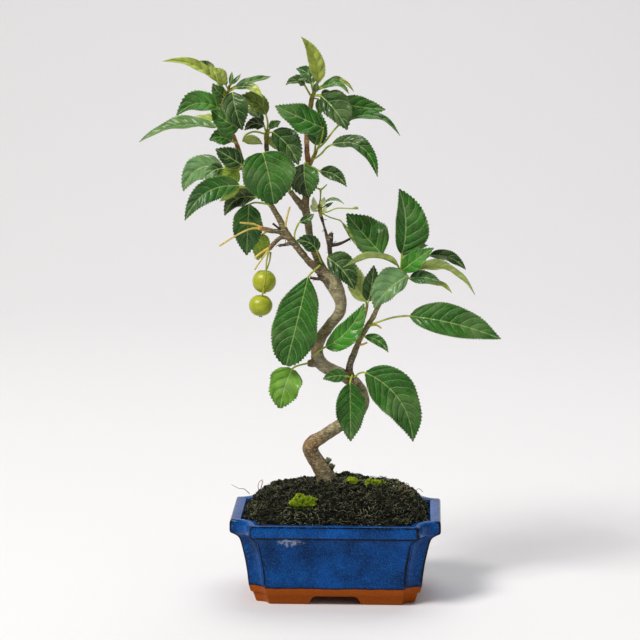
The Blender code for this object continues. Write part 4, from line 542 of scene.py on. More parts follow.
        "stem": [(-13.4, 245.4, -4.6, 0.8), (-17.0, 242.2, -7.0, 0.75), (-20.0, 239.2, -8.0, 0.8)],
        "leaves": [
            ([], (-21.3, 237.6, -8.5), (-29.6, 203.5, -14), (-37.5, 171.3, -12), 34, 5, 8, 0, LOW),
        ],
    },
    "round_leaf": {
        "stem": [(-21.4, 173.2, -1.6, 0.8), (-27.0, 171.8, -4.0, 0.7), (-31.0, 170.3, -4.5, 0.7)],
        "leaves": [
            ([], (-33, 168.8, -5), (-39, 154, -8), (-42, 139.2, -6), 24, 5, 8, 0, ROUND),
        ],
    },
    "small_trunk_leaf": {
        "stem": [(8.8, 163.2, -2.2, 0.8), (7.6, 163.4, -4.0, 0.7)],
        "leaves": [
            ([],
             (6.8, 163.6, -4.5), (-0.5, 164, -6.5), (-10.2, 161.3, -7.5), 10.5, 8, 12, 0, BROAD),
        ],
    },
    "hanging_trunk_leaf": {
        "stem": [(11.0, 163.2, -1.6, 0.9), (10.2, 160.5, -4.0, 0.8)],
        "leaves": [
            ([], (9.8, 158.3, -5.5), (10, 137, -8), (10.4, 114.6, -6), 22.5, 5, 12, 0, BROAD),
        ],
    },
    "lower_right_leaf": {
        "stem": [(13.4, 163.2, -1.0, 0.8), (16.0, 165.6, -4.0, 0.7), (19.0, 166.6, -6.0, 0.7)],
        "leaves": [
            ([], (21.3, 166.3, -7), (42.5, 151, -12), (56.5, 114.8, -10), 31, 5, 10, 0, BROAD),
        ],
    },
    "spur_hanging_leaf": {
        "stem": [(-51.5, 271.0, -5.0, 0.8), (-53.0, 270.0, -1.5, 0.7), (-54.0, 269.4, 3.0, 0.7)],
        "leaves": [
            ([], (-54.8, 269, 5), (-55.8, 261, 7), (-58.5, 250, 7), 14, 170, 8, 0, BROAD),
        ],
    },
}

# Fruit: centre, height as a share of the width, and the stalk from the spur down
FRUITS = {
    "crabapple_upper": ((-53.6, 234.2, 1.0), 1.0, [
        (-48.7, 255.6, -8.2, 0.8), (-49.4, 250.0, -5.5, 0.6), (-51.3, 244.0, -1.0, 0.6),
        (-54.0, 239.4, 0.6, 0.7)]),
    "crabapple_lower": ((-56.2, 216.2, -3.0), 0.93, [
        (-49.7, 258.3, -9.2, 0.8), (-51.7, 249.0, -10.2, 0.6), (-52.4, 240.0, -10.4, 0.6),
        (-53.8, 229.0, -9.6, 0.6), (-55.6, 221.3, -4.6, 0.7)]),
}

# Moss clumps: name, middle across and along, size
MOSSES = [
    ("moss_clump_left", (-23.5, -34.5), (21.0, 13.0, 8.0)),
    ("moss_clump_right", (27.0, -6.5), (13.0, 9.0, 5.0)),
    ("moss_clump_middle", (11.5, -12.5), (9.0, 8.0, 4.0)),
]

# Limbs that share one skin, and the thin dead ones that lie on it
WOODY_LIMBS = [
    TRUNK, LEFT_LEADER, RIGHT_LEADER, RIGHT_BRANCH, FORK_STUB, SECOND_TWIG, DEAD_SPUR,
    DEAD_STUB, SPUR_A, SPUR_B, SPUR_C, LOWER_SPUR, PRUNED_STUB, BROKEN_STUB, SIDE_KNOB,
]
YELLOW_STALKS = [
    UPRIGHT_STALK, LONG_STALK, SHORT_STALK, SPENT_STALK, STALK_STUB, BRANCH_TWIG, LEAF_SPUR,
]
DEAD_TWIGS = [DEAD_TWIG, DEAD_TWIG_LEFT]

# Tones along each limb, from its lower end
WOOD_TONES = [
    (TRUNK, ["#8d8769", "#7f7452", "#77592f", "#837d5a", "#8d8764", "#a89f80", "#857d5c",
             "#89815d", "#938b68", "#7f7653"]),
    (LEFT_LEADER, ["#6f6648", "#5d5438", "#6c6038", "#7d7044", "#8a5e38", "#a0643a", "#9a6c40"]),
    (RIGHT_LEADER, ["#6f6648", "#6a5e3c", "#6c6038", "#7d663c", "#985a38", "#8a6c44", "#a05c3c"]),
    (RIGHT_BRANCH, ["#463c2a", "#585034", "#7c7248", "#8c8052", "#706840"]),
    (FORK_STUB, ["#6a603e", "#7d704a"]),
    (SECOND_TWIG, ["#4a402a", "#5a4e2c", "#4a3e26"]),
    (DEAD_SPUR, ["#5a5038", "#3a3224", "#231e17"]),
    (DEAD_STUB, ["#231e17", "#2a241b"]),
    (SPUR_A, ["#6a5c38", "#4f462e", "#7a5e2c", "#c48c30"]),
    (SPUR_B, ["#6a5c38", "#5d4e30", "#6f5630"]),
    (SPUR_C, ["#5a4e34", "#3a3224"]),
    (LOWER_SPUR, ["#4a402c", "#2a241b"]),
    (PRUNED_STUB, ["#938a6c", "#c48a78", "#d2a494"]),
    (BROKEN_STUB, ["#8d8466", "#6f6040"]),
    (SIDE_KNOB, ["#8d8466", "#7a6c50"]),
]

# Twigs lying on the soil, in the same form as the limbs
SURFACE_TWIGS = [
    [(-65, 74, -8, 0.3), (-69, 77.5, -8, 0.25), (-73, 78, -9, 0.2), (-78.5, 81, -9, 0.15)],
    [(-57, 75, 4, 0.3), (-58.6, 79, 4, 0.25), (-57.6, 83, 4, 0.2), (-55, 84.8, 4, 0.2)],
    [(-49, 77, 6, 0.25), (-48.4, 80.5, 6, 0.2), (-45.6, 82.3, 6, 0.2), (-43.6, 80.4, 6, 0.2)],
    [(45, 77, -14, 0.3), (49, 81.5, -14, 0.25), (52.6, 83, -14, 0.2), (55.6, 78, -14, 0.2)],
    [(57, 74, -14, 0.25), (60.5, 79, -13, 0.2), (64, 76.6, -12, 0.2)],
    [(44, 76, -18, 0.4), (48, 79.5, -17, 0.35), (52, 82.5, -16, 0.3)],
    [(48, 75, -18, 0.4), (53, 77.5, -18, 0.35), (58, 77, -17, 0.3)],
    [(-57, 76, 4, 0.35), (-56, 80, 4, 0.3), (-55, 84, 5, 0.25)],
    [(-48, 77.5, 6, 0.35), (-46, 79.5, 6, 0.3), (-44, 80.8, 6, 0.25)],
]

# Lichen on the trunk's foot, in millimetres from the pot's middle: place and size
LICHEN_TUFTS = [((-3.8, -3.0, 95.0), (4.6, 5.0, 5.0)), ((-6.4, -3.4, 99.5), (3.6, 4.0, 4.4))]

# Small moss tufts: across, along, width
MOSS_TUFTS = [(-2.0, 4.0, 5.0), (33.0, 2.0, 7.0), (20.0, 0.0, 4.0)]


# Colour of each leaf in the order above: upper side, then underside after a bar.
# "a>b" turns from a at the base to b at the tip, "a/b" from a on the left half to b; the dark fold
# leaf's black half is painted shade.
LEAF_LOOKS = {
    "left_crown_spray": "lime pale>dark lime sage sage sage sage|felt dark>lime mid dark mid"
                        " bright>mid sage lime dark mid",
    "second_twig_spray": "olive dark>olive black mid|felt sage mid|felt dark",
    "right_crown_spray": "lime slate dark|lime slate dark mid|felt dark>lime dark mid dark mid|felt",
    "right_middle_spray": "mid mid|felt mid dark>mid",
    "bud_cluster": "down down down sage dark down olive",
    "left_middle_spray": "dark silver dark>silver mid|glow",
    "leader_side_leaf": "mid",
    # The long leaf turns to slate at its tip as a weak painted sheen there
    "left_long_leaf_spray": "mid>slate mid|glow",
    "left_dark_leaf": "black",
    "left_hanging_leaf": "mid>slate",
    "front_leaf": "mid",
    # The fold's black half is painted shade on the half turned from the light
    "dark_fold_leaf": "mid/black",
    "right_small_leaf": "dark",
    "spur_leaf": "dark",
    "leader_leaf": "dark",
    "dead_spur_leaf": "dark",
    "right_branch_spray": "mid mid bright dark dark mid|felt slate lime silver mid|felt",
    "branch_leaf_pair": "mid|felt dark",
    "long_right_leaf": "mid",
    "branch_small_leaf": "mid",
    "trunk_leaf_right": "bright",
    "big_hanging_leaf": "mid",
    "round_leaf": "fresh",
    "small_trunk_leaf": "mid",
    "hanging_trunk_leaf": "mid",
    "lower_right_leaf": "mid",
    "spur_hanging_leaf": "mid|glow",
}
# The grey-green tone #5f8553 is painted sheen, given to leaves that catch the light
LEAF_TONES = {
    "black": "#081703", "dark": "#113807", "mid": "#1b5608", "bright": "#2f7414",
    "fresh": "#5c8f20", "lime": "#9fac46", "olive": "#566814", "pale": "#a9b766",
    "sage": "#456b2f", "slate": "#275427", "silver": "#5f8553", "down": "#c8d092",
    "felt": "#a5b760", "glow": "#86a812",
}

# Matt finishes: two tones, grain in millimetres, roughness, how strongly and how deep in
# millimetres the grain stands out, and the tone of any specks
MATT_FINISHES = {
    # Moist peat, nearly black: its own dark tone, with painted shade for the gaps between the crumbs
    "peat_with_painted_shade": ("#040403", "#12120b", 2.0, 0.95, 1.0, 1.0, None),
    # Peat crumbs with pale mineral grit between them
    "soil_crumbs": ("#030302", "#23241a", 4.348, 0.95, 0.8, 0.6, "#747257"),
    # Crumbs under a skin of algae, a dull green
    "mossy_crumbs": ("#141c0c", "#2b3a16", 2.5, 0.9, 0.5, 0.6, None),
    # Composted pine bark, warm brown and fibrous
    "pine_bark_chips": ("#4a2c12", "#8a6234", 3.333, 0.85, 0.5, 0.6, None),
    # Dry leaf and straw bits, the palest things on the soil
    "pale_fragments": ("#a8976a", "#ddd2a6", 3.333, 0.8, 0.5, 0.6, None),
    # Dead roots and threads, from black to straw along their length
    "root_fibres": ("#0c0e07", "#8b8f6c", 33.33, 0.9, 0.5, 0.6, None),
    # Dry twigs, brown and dull
    "dry_twigs": ("#3a2b1c", "#7d6748", 3.333, 0.85, 0.5, 0.6, None),
    # Living moss, lime at the tips, with dark green patches and specks that are painted shade between
    # the shoots
    "moss_shoots": ("#1f3607", "#a9c22a", 1.613, 0.9, 0.4, 0.4, "#1a2e06"),
    # The shaded cushion under the shoots
    "moss_bed": ("#1c2a08", "#33480c", 2.5, 0.95, 0.5, 0.6, None),
    # Grey-green lichen with dark gaps
    "lichen_lobes": ("#3c4228", "#8a8c68", 3.333, 0.9, 0.4, 0.4, "#2a2a18"),
    "lichen_bed": ("#23251a", "#4a4a34", 2.5, 0.95, 0.5, 0.6, None),
    # Callus closing over a cut, smooth and pinkish
    "healing_callus": ("#9a6250", "#cfa38c", 3.846, 0.7, 0.5, 0.6, None),
    # Fruit stalks left to dry, straw yellow with rusty spots
    "drying_stalks": ("#b9a23c", "#d9c67a", 8.333, 0.6, 0.3, 0.3, "#b0702a"),
    # Dead wood, nearly black and flaking
    "dead_twigs": ("#241c16", "#54473a", 3.333, 0.85, 0.6, 0.5, None),
    # Living stalks, smooth lime green with a little rust
    "leaf_stalks": ("#7f9a35", "#a9b84e", 11.11, 0.5, 0.2, 0.3, "#a8763c"),
    # This year's shoots, green turning to brown bark
    "young_shoot_bark": ("#6d4c26", "#8a8a3e", 6.667, 0.6, 0.4, 0.4, "#4a2c1a"),
    # Stalks that carry fruit, yellower than the leaves'
    "fruit_stalks": ("#8f9a35", "#b0a848", 11.11, 0.5, 0.2, 0.3, "#7d5a2c"),
    # Withered sepals, dry brown
    "dried_calyx": ("#3b2414", "#6f4a28", 3.333, 0.85, 0.5, 0.6, None),
}

# Soft lights: name, place and side in metres, watts and tone
SOFTBOXES = (
    ("key_softbox", (-1.7, -1.6, 2.9), 1.1, 136.0, "#fffbf8"),
    ("fill_softbox", (2.2, -1.6, 1.0), 1.8, 9.0, "#f2f6ff"),
    ("top_softbox", (0.3, 0.9, 2.4), 2.0, 34.0, "#ffffff"),
)
LIGHTS_AIM = Vector((0.0, 0.0, 0.2))

# Paper sweep, in metres: half width, front edge, where it starts to rise, how round
# the rise is, and how far the paper goes on above it
SWEEP_HALF = 6.0
SWEEP_FRONT = -3.0
SWEEP_BEND = 1.2
SWEEP_ROUND = 1.6
SWEEP_TOP = (0.0, 0.1, 3.0)


def paint(code):
    """Linear colour of a #rrggbb tone."""
    tone = []
    for i in (1, 3, 5):
        share = int(code[i:i + 2], 16) / 255
        tone.append(share / 12.92 if share <= 0.04045 else ((share + 0.055) / 1.055) ** 2.4)
    return (*tone, 1.0)


def per_metre(millimetres):
    """How many grains of a pattern go in a metre, from the real size of one."""
    return 1.0 / (millimetres * MM)


def mixed(first, second, share):
    """The values that lie between first and second at a share of the way."""
    return tuple(a + (b - a) * share for a, b in zip(first, second))


def seen_at(across, up, depth):
    """Point at the given depth that is seen over (across, up) on the middle plane."""
    on_plane = Vector((across, 0.0, up))
    share = (depth - VIEWPOINT.y) / (0.0 - VIEWPOINT.y)
    return (VIEWPOINT + (on_plane - VIEWPOINT) * share) * MM + POT_MIDDLE


def fed(tree, node, inputs):
    """The node with its inputs set to values or tones, or linked to other outputs."""
    for socket, value in inputs.items():
        if isinstance(value, bpy.types.NodeSocket):
            tree.links.new(value, node.inputs[socket])
        else:
            node.inputs[socket].default_value = paint(value) if isinstance(value, str) else value
    return node


def add(tree, kind, inputs, **settings):
    """A new shader node with its settings, values and links."""
    node = tree.nodes.new("ShaderNode" + kind)
    for name, value in settings.items():
        setattr(node, name, value)
    return fed(tree, node, inputs)


def coated(tree, colour, *coats):
    """The colour under coats of (where it shows, tone), each laid over the last."""
    for share, tone in coats:
        colour = add(tree, "Mix", {0: share, 6: colour, 7: tone}, data_type="RGBA").outputs[2]
    return colour


def new_look(name):
    """A material, its node tree, its shader and the place that its patterns read."""
    made = bpy.data.materials.new(name)
    made.use_nodes = True
    tree = made.node_tree
    place = add(tree, "TexCoord", {}).outputs["Object"]
    return made, tree, tree.nodes["Principled BSDF"], place


def cobalt_glaze():
    """Cobalt glaze on red stoneware: it breaks dark brown over edges, is freckled with
    lighter blue where crystals rose, and stops above a bare terracotta foot."""
    look, tree, shader, place = new_look("cobalt_glaze_on_stoneware")
    height = add(tree, "SeparateXYZ", {0: place}).outputs["Z"]
    edge = add(tree, "Attribute", {}, attribute_name="edge").outputs["Fac"]
    mark = add(tree, "Attribute", {}, attribute_name="lime").outputs["Fac"]
    cloud = add(tree, "TexNoise", {"Vector": place, "Scale": per_metre(18.18), "Detail": 6.0,
                                   "Roughness": 0.62}).outputs["Fac"]
    pooled = add(tree, "MapRange", {0: cloud, 1: 0.36, 2: 0.66}).outputs[0]
    run_down = add(tree, "VectorMath", {0: place, 1: (1.0, 1.0, 0.25)},
                   operation="MULTIPLY").outputs[0]
    streak = add(tree, "TexNoise", {"Vector": run_down, "Scale": per_metre(2.381),
                                    "Detail": 3.0, "Roughness": 0.6}).outputs["Fac"]
    grit = add(tree, "TexNoise", {"Vector": place, "Scale": per_metre(0.6667),
                                  "Detail": 2.0}).outputs["Fac"]
    crystals = add(tree, "MapRange", {0: grit, 1: 0.52, 2: 0.68, 4: 0.6}).outputs[0]
    pits = add(tree, "TexVoronoi", {"Vector": place, "Scale": per_metre(1.5625)})
    pits = add(tree, "MapRange", {0: pits.outputs["Distance"], 1: 0.12, 2: 0.3, 3: 0.85,
                                  4: 0.0}).outputs[0]
    worn = add(tree, "Math", {0: edge, 1: streak}, operation="MULTIPLY").outputs[0]
    worn = add(tree, "MapRange", {0: worn, 1: 0.12, 2: 0.34}).outputs[0]
    wobble = add(tree, "TexNoise", {"Vector": place, "Scale": per_metre(7.692)}).outputs["Fac"]
    line = add(tree, "Math", {0: wobble, 1: 1.6 * MM, 2: height},
               operation="MULTIPLY_ADD").outputs[0]
    glazed = add(tree, "MapRange", {0: line, 1: (GLAZE_LINE + 0.5) * MM,
                                    2: (GLAZE_LINE + 1.0) * MM}).outputs[0]
    rim = add(tree, "MapRange", {0: line, 1: (GLAZE_LINE + 0.9) * MM,
                                 2: (GLAZE_LINE + 2.8) * MM, 3: 1.0, 4: 0.0}).outputs[0]
    lime = add(tree, "Math", {0: mark, 1: streak}, operation="MULTIPLY").outputs[0]
    lime = add(tree, "MapRange", {0: lime, 1: 0.3, 2: 0.5, 4: 0.7}).outputs[0]
    grain = add(tree, "TexNoise", {"Vector": place, "Scale": per_metre(1.111),
                                   "Detail": 4.0}).outputs["Fac"]
    main_tone = tuple(bpy.context.scene.bonsai.glaze_colour)
    glaze = coated(tree, "#02255a", (pooled, main_tone), (crystals, "#2477ac"),
                   (pits, "#08193f"), (worn, "#120c09"), (rim, "#140c10"), (lime, "#c9cfd4"))
    clay = coated(tree, "#7e3503", (grain, "#b1590c"))
    relief = add(tree, "Bump", {"Strength": 0.25, "Distance": 0.4 * MM, "Height": cloud})
    fed(tree, shader, {
        "Base Color": coated(tree, clay, (glazed, glaze)),
        "Roughness": add(tree, "MapRange", {0: glazed, 3: 0.34, 4: 0.13}).outputs[0],
        "IOR": 1.52, "Specular IOR Level": 0.1, "Normal": relief.outputs[0]})
    return look


def matt_look(name):
    """A matt natural finish, mottled between two tones, with specks of a third."""
    first, second, grain, roughness, bump, depth, specks = MATT_FINISHES[name]
    look, tree, shader, place = new_look(name)
    patch = add(tree, "TexNoise", {"Vector": place, "Scale": per_metre(grain), "Detail": 5.0,
                                   "Roughness": 0.65}).outputs["Fac"]
    share = add(tree, "MapRange", {0: patch, 1: 0.35, 2: 0.65}).outputs[0]
    colour = coated(tree, first, (share, second))
    if specks:
        speck = add(tree, "TexNoise", {"Vector": place, "Scale": 3.7 * per_metre(grain),
                                       "Detail": 2.0}).outputs["Fac"]
        share = add(tree, "MapRange", {0: speck, 1: 0.62, 2: 0.7}).outputs[0]
        colour = coated(tree, colour, (share, specks))
    relief = add(tree, "Bump", {"Strength": bump, "Distance": depth * MM, "Height": patch})
    fed(tree, shader, {"Base Color": colour, "Roughness": roughness,
                       "Specular IOR Level": 0.15, "Normal": relief.outputs[0]})
    return look


def bark_look():
    """Smooth young bark: each limb's own tone, with lenticels across it and fine cracks."""
    look, tree, shader, place = new_look("crabapple_bark")
    tint = add(tree, "Attribute", {}, attribute_name="tint").outputs["Color"]
    patch = add(tree, "TexNoise", {"Vector": place, "Scale": per_metre(5.263), "Detail": 6.0,
                                   "Roughness": 0.7}).outputs["Fac"]
    share = add(tree, "MapRange", {0: patch, 1: 0.3, 2: 0.7, 3: 0.5, 4: 1.5}).outputs[0]
    broad = add(tree, "TexNoise", {"Vector": place, "Scale": per_metre(16.13),
                                   "Detail": 2.0}).outputs["Fac"]
    brown = add(tree, "MapRange", {0: broad, 1: 0.49, 2: 0.6, 4: 0.55}).outputs[0]
    flattened = add(tree, "VectorMath", {0: place, 1: (1.0, 1.0, 3.2)},
                    operation="MULTIPLY").outputs[0]
    band = add(tree, "TexNoise", {"Vector": flattened, "Scale": per_metre(2.381),
                                  "Detail": 4.0, "Roughness": 0.7}).outputs["Fac"]
    cracks = add(tree, "MapRange", {0: band, 1: 0.54, 2: 0.65, 4: 0.85}).outputs[0]
    lenticels = add(tree, "MapRange", {0: band, 1: 0.45, 2: 0.33, 4: 0.7}).outputs[0]
    colour = add(tree, "VectorMath", {0: coated(tree, tint, (brown, "#5c4522")),
                                      "Scale": share}, operation="SCALE").outputs[0]
    relief = add(tree, "Bump", {"Strength": 0.6, "Distance": 0.5 * MM, "Height": band})
    fed(tree, shader, {
        "Base Color": coated(tree, colour, (cracks, "#22170c"), (lenticels, "#cfc8ae")),
        "Roughness": 0.55, "Specular IOR Level": 0.4, "Normal": relief.outputs[0]})
    return look


def leaf_look(name, tint_name, vein_tone, drawn, net_drawn, roughness, coat):
    """A leaf's face: its own tone, veins drawn along the real ones' lines, a fine net, and broad
    patches of painted grey-green sheen.
    """
    look, tree, shader, place = new_look(name)
    tint = add(tree, "Attribute", {}, attribute_name=tint_name).outputs["Color"]
    blade = add(tree, "Attribute", {}, attribute_name="blade").outputs["Vector"]
    size = add(tree, "Attribute", {}, attribute_name="measure").outputs["Vector"]
    blade = add(tree, "SeparateXYZ", {0: blade})
    size = add(tree, "SeparateXYZ", {0: size})
    across = add(tree, "Math", {0: blade.outputs[0]}, operation="ABSOLUTE").outputs[0]
    from_rib = add(tree, "Math", {0: across, 1: blade.outputs[2]},
                   operation="MULTIPLY").outputs[0]
    rib = add(tree, "MapRange", {0: from_rib, 1: 0.22, 2: 0.62, 3: 1.0, 4: 0.0}).outputs[0]
    wobble = add(tree, "TexNoise", {"Vector": place, "Scale": per_metre(4.762),
                                    "Detail": 1.0}).outputs["Fac"]
    line = add(tree, "Math", {0: wobble, 1: 0.28, 2: size.outputs[0]},
               operation="MULTIPLY_ADD").outputs[0]
    away = add(tree, "Math", {0: line, 1: 0.5}, operation="PINGPONG").outputs[0]
    away = add(tree, "Math", {0: away, 1: size.outputs[1]}, operation="MULTIPLY").outputs[0]
    side = add(tree, "MapRange", {0: away, 1: 0.12, 2: 0.42, 3: 0.9, 4: 0.0}).outputs[0]
    fade = add(tree, "MapRange", {0: across, 1: 0.45, 2: 1.0, 3: 1.0, 4: 0.25}).outputs[0]
    side = add(tree, "Math", {0: side, 1: fade}, operation="MULTIPLY").outputs[0]
    veins = add(tree, "Math", {0: rib, 1: side}, operation="MAXIMUM").outputs[0]
    shown = add(tree, "Math", {0: veins, 1: drawn}, operation="MULTIPLY").outputs[0]
    cells = add(tree, "TexVoronoi", {"Vector": place, "Scale": per_metre(1.5625)},
                feature="DISTANCE_TO_EDGE").outputs["Distance"]
    net = add(tree, "MapRange", {0: cells, 1: 0.02, 2: 0.16, 3: net_drawn, 4: 0.0}).outputs[0]
    margin = add(tree, "MapRange", {0: across, 1: 0.93, 2: 1.0, 4: 0.4}).outputs[0]
    patch = add(tree, "TexNoise", {"Vector": place, "Scale": per_metre(9.091), "Detail": 5.0,
                                   "Roughness": 0.6}).outputs["Fac"]
    share = add(tree, "MapRange", {0: patch, 1: 0.3, 2: 0.7, 3: 0.6, 4: 1.4}).outputs[0]
    # Broad patches of grey-green laid over the tone are painted sheen, where light glances off the
    # blade
    broad = add(tree, "TexNoise", {"Vector": place, "Scale": per_metre(20.83),
                                   "Detail": 3.0}).outputs["Fac"]
    painted_sheen = add(tree, "MapRange", {0: broad, 1: 0.47, 2: 0.68, 4: 0.26}).outputs[0]
    colour = add(tree, "VectorMath", {0: tint, "Scale": share}, operation="SCALE").outputs[0]
    pale = coated(tree, tint, (0.55, vein_tone))
    puff = add(tree, "MapRange", {0: away, 1: 0.0, 2: 2.6, 4: 2.2}).outputs[0]
    height = add(tree, "Math", {0: patch, 1: puff}).outputs[0]
    for low, depth in ((veins, -1.0), (net, -1.5)):
        height = add(tree, "Math", {0: low, 1: depth, 2: height},
                     operation="MULTIPLY_ADD").outputs[0]
    relief = add(tree, "Bump", {"Strength": 0.6, "Distance": 0.5 * MM, "Height": height})
    fed(tree, shader, {
        "Base Color": coated(tree, colour, (painted_sheen, "#8aa468"), (net, pale), (shown, pale),
                             (margin, pale)),
        "Roughness": roughness, "IOR": 1.42, "Specular IOR Level": 0.1, "Coat Weight": coat,
        "Coat Roughness": 0.16, "Normal": relief.outputs[0]})
    return look


def apple_look():
    """Waxy unripe skin: yellow-green in patches, dotted with brown pores."""
    look, tree, shader, place = new_look("crabapple_skin")
    patch = add(tree, "TexNoise", {"Vector": place, "Scale": per_metre(5.882),
                                   "Detail": 6.0, "Roughness": 0.7}).outputs["Fac"]
    share = add(tree, "MapRange", {0: patch, 1: 0.35, 2: 0.65}).outputs[0]
    pore = add(tree, "TexVoronoi", {"Vector": place, "Scale": per_metre(1.786)})
    dots = add(tree, "MapRange", {0: pore.outputs["Distance"], 1: 0.10, 2: 0.2, 3: 0.6,
                                  4: 0.0}).outputs[0]
    ripe = tuple(bpy.context.scene.bonsai.fruit_colour)
    fed(tree, shader, {
        "Base Color": coated(tree, "#7f941a", (share, ripe), (dots, "#6d5a1c")),
        "Roughness": 0.3, "IOR": 1.45, "Specular IOR Level": 0.3, "Subsurface Weight": 0.12,
        "Subsurface Radius": (4 * MM, 4 * MM, 1 * MM), "Subsurface Scale": 1.0})
    return look


def linked(name, data):
    """A new object in the scene."""
    made = bpy.data.objects.new(name, data)
    bpy.context.scene.collection.objects.link(made)
    return made


def placed(name, mesh, looks, slot, *nodes):
    """A finished piece, riding on the fixed body in place of the frame's nodes."""
    made = linked(name, mesh)
    for i, look in enumerate(looks):
        if i < len(mesh.materials):
            mesh.materials[i] = look
        else:
            mesh.materials.append(look)
    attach(made, "root")
    if nodes:
        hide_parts(*nodes)


def mesh_of(name, work):
    """The bmesh as a mesh."""
    mesh = bpy.data.meshes.new(name)
    work.to_mesh(mesh)
    work.free()
    return mesh


def taken_from(*items):
    """The first object's mesh with its modifiers applied, and all the objects removed."""
    graph = bpy.context.evaluated_depsgraph_get()
    mesh = bpy.data.meshes.new_from_object(items[0].evaluated_get(graph))
    for item in items:
        bpy.data.objects.remove(item, do_unlink=True)
    return mesh


def smooth_route(points, steps):
    """A smooth curve through the points (tuples of any length), with steps a span."""
    if len(points) < 3:
        return [tuple(p) for p in points]
    ends = [points[0]] + list(points) + [points[-1]]
    route = []
    for i in range(1, len(ends) - 2):
        p0, p1, p2, p3 = ends[i - 1], ends[i], ends[i + 1], ends[i + 2]
        for k in range(steps):
            t = k / steps
            route.append(tuple(
                0.5 * (2 * b + (c - a) * t + (2 * a - 5 * b + 4 * c - d) * t * t
                       + (3 * b - a - 3 * c + d) * t ** 3)
                for a, b, c, d in zip(p0, p1, p2, p3)))
    route.append(tuple(points[-1]))
    return route


def placed_rows(rows):
    """Rows (across, up, depth, radius) in millimetres as (x, y, z, radius) in metres."""
    return [(*seen_at(x, z, y), r * MM) for x, z, y, r in rows]


def placed_route(rows, steps):
    """Rows as a smooth route in metres."""
    return smooth_route(placed_rows(rows), steps)


def tubes(name, routes, rounding):
    """One mesh of closed round tubes along routes of (x, y, z, radius), in metres."""
    curve = bpy.data.curves.new(name, "CURVE")
    curve.dimensions = "3D"
    curve.bevel_depth = 1.0
    curve.bevel_resolution = rounding
    curve.use_fill_caps = True
    for route in routes:
        spline = curve.splines.new("POLY")
        spline.points.add(len(route) - 1)
        for dot, (x, y, z, radius) in zip(spline.points, route):
            dot.co = (x, y, z, 1.0)
            dot.radius = radius
    mesh = taken_from(linked(name + "_curve", curve))
    bpy.data.curves.remove(curve)
    work = bmesh.new()
    work.from_mesh(mesh)
    bmesh.ops.remove_doubles(work, verts=work.verts, dist=0.001 * MM)
    bmesh.ops.recalc_face_normals(work, faces=work.faces)
    work.to_mesh(mesh)
    work.free()
    mesh.shade_smooth()
    return mesh


def roughened(mesh, *grains):
    """Moves a mesh's skin in and out by grains of (waves a millimetre, millimetres)."""
    outward = [corner.vector.copy() for corner in mesh.vertex_normals]
    for vert, away in zip(mesh.vertices, outward):
        place = vert.co / MM
        bulge = sum(noise.noise(place * often) * reach for often, reach in grains)
        vert.co += away * bulge * MM


def quarter_outline(width, depth, reach_x, reach_y):
    """Quarter of the pot's outline, from the middle of the front round to the right."""
    w, d = width / 2, depth / 2
    crease = CREASE_ROUND
    straight = w - reach_x - crease
    points = [(straight * share, -d) for share in FRONT_SHARES]
    points += [(w - reach_x - 0.5 * crease, -d + 0.06 * crease),
               (w - reach_x - 0.12 * crease, -d + 0.35 * crease)]
    for turn in HOLLOW_TURNS:
        angle = math.radians(turn)
        points.append((w - reach_x * math.cos(angle), -d + reach_y * math.sin(angle)))
    points += [(w - 0.35 * crease, -d + reach_y + 0.12 * crease),
               (w - 0.06 * crease, -d + reach_y + 0.5 * crease)]
    side = d - reach_y - crease
    points += [(w, -side * share) for share in SIDE_SHARES]
    return points + [(w, 0.0)]


def pot_outline(width, depth, reach_x, reach_y):
    """The pot's whole outline, its quarter turned over to each side."""
    quarter = quarter_outline(width, depth, reach_x, reach_y)
    outline = list(quarter)
    outline += [(x, -y) for x, y in reversed(quarter[:-1])]
    outline += [(-x, -y) for x, y in quarter[1:]]
    outline += [(-x, y) for x, y in reversed(quarter[1:-1])]
    return outline


def flat_level(width, depth, reach_x, reach_y, height):
    """The pot's outline at one height."""
    return [(x, y, height) for x, y in pot_outline(width, depth, reach_x, reach_y)]


def lofted(name, levels):
    """A solid raised level by level from a flat outline, every level alike in count."""
    work = bmesh.new()
    bottom = work.faces.new([work.verts.new(Vector(p) * MM + POT_MIDDLE) for p in levels[0]])
    face = bottom
    for level in levels[1:]:
        made = bmesh.ops.extrude_face_region(work, geom=[face])
        if face is not bottom:
            bmesh.ops.delete(work, geom=[face], context="FACES_ONLY")
        face = [g for g in made["geom"] if isinstance(g, bmesh.types.BMFace)][0]
        for corner, place in zip([loop.vert for loop in face.loops], level):
            corner.co = Vector(place) * MM + POT_MIDDLE
    bmesh.ops.recalc_face_normals(work, faces=work.faces)
    return mesh_of(name, work)


def wedge(name, bottom, top, height, length, along_y):
    """Bar with a trapezoid section and softened upper edges, for the gap between feet."""
    work = bmesh.new()
    bmesh.ops.create_cube(work, size=1.0)
    for vert in work.verts:
        side = vert.co.x * (top if vert.co.z > 0 else bottom)
        reach = vert.co.y * length
        rise = height if vert.co.z > 0 else -CUT_PAST
        place = Vector((side, reach, rise) if along_y else (reach, side, rise))
        vert.co = place * MM + POT_MIDDLE
    upper = [e for e in work.edges if all(v.co.z > 0 for v in e.verts)
             and abs((e.verts[0].co - e.verts[1].co).normalized()[1 if along_y else 0]) > 0.9]
    bmesh.ops.bevel(work, geom=upper, offset=GAP_ROUND * MM, segments=5, profile=0.5,
                    affect="EDGES", material=-1)
    bmesh.ops.recalc_face_normals(work, faces=work.faces)
    return linked(name, mesh_of(name, work))


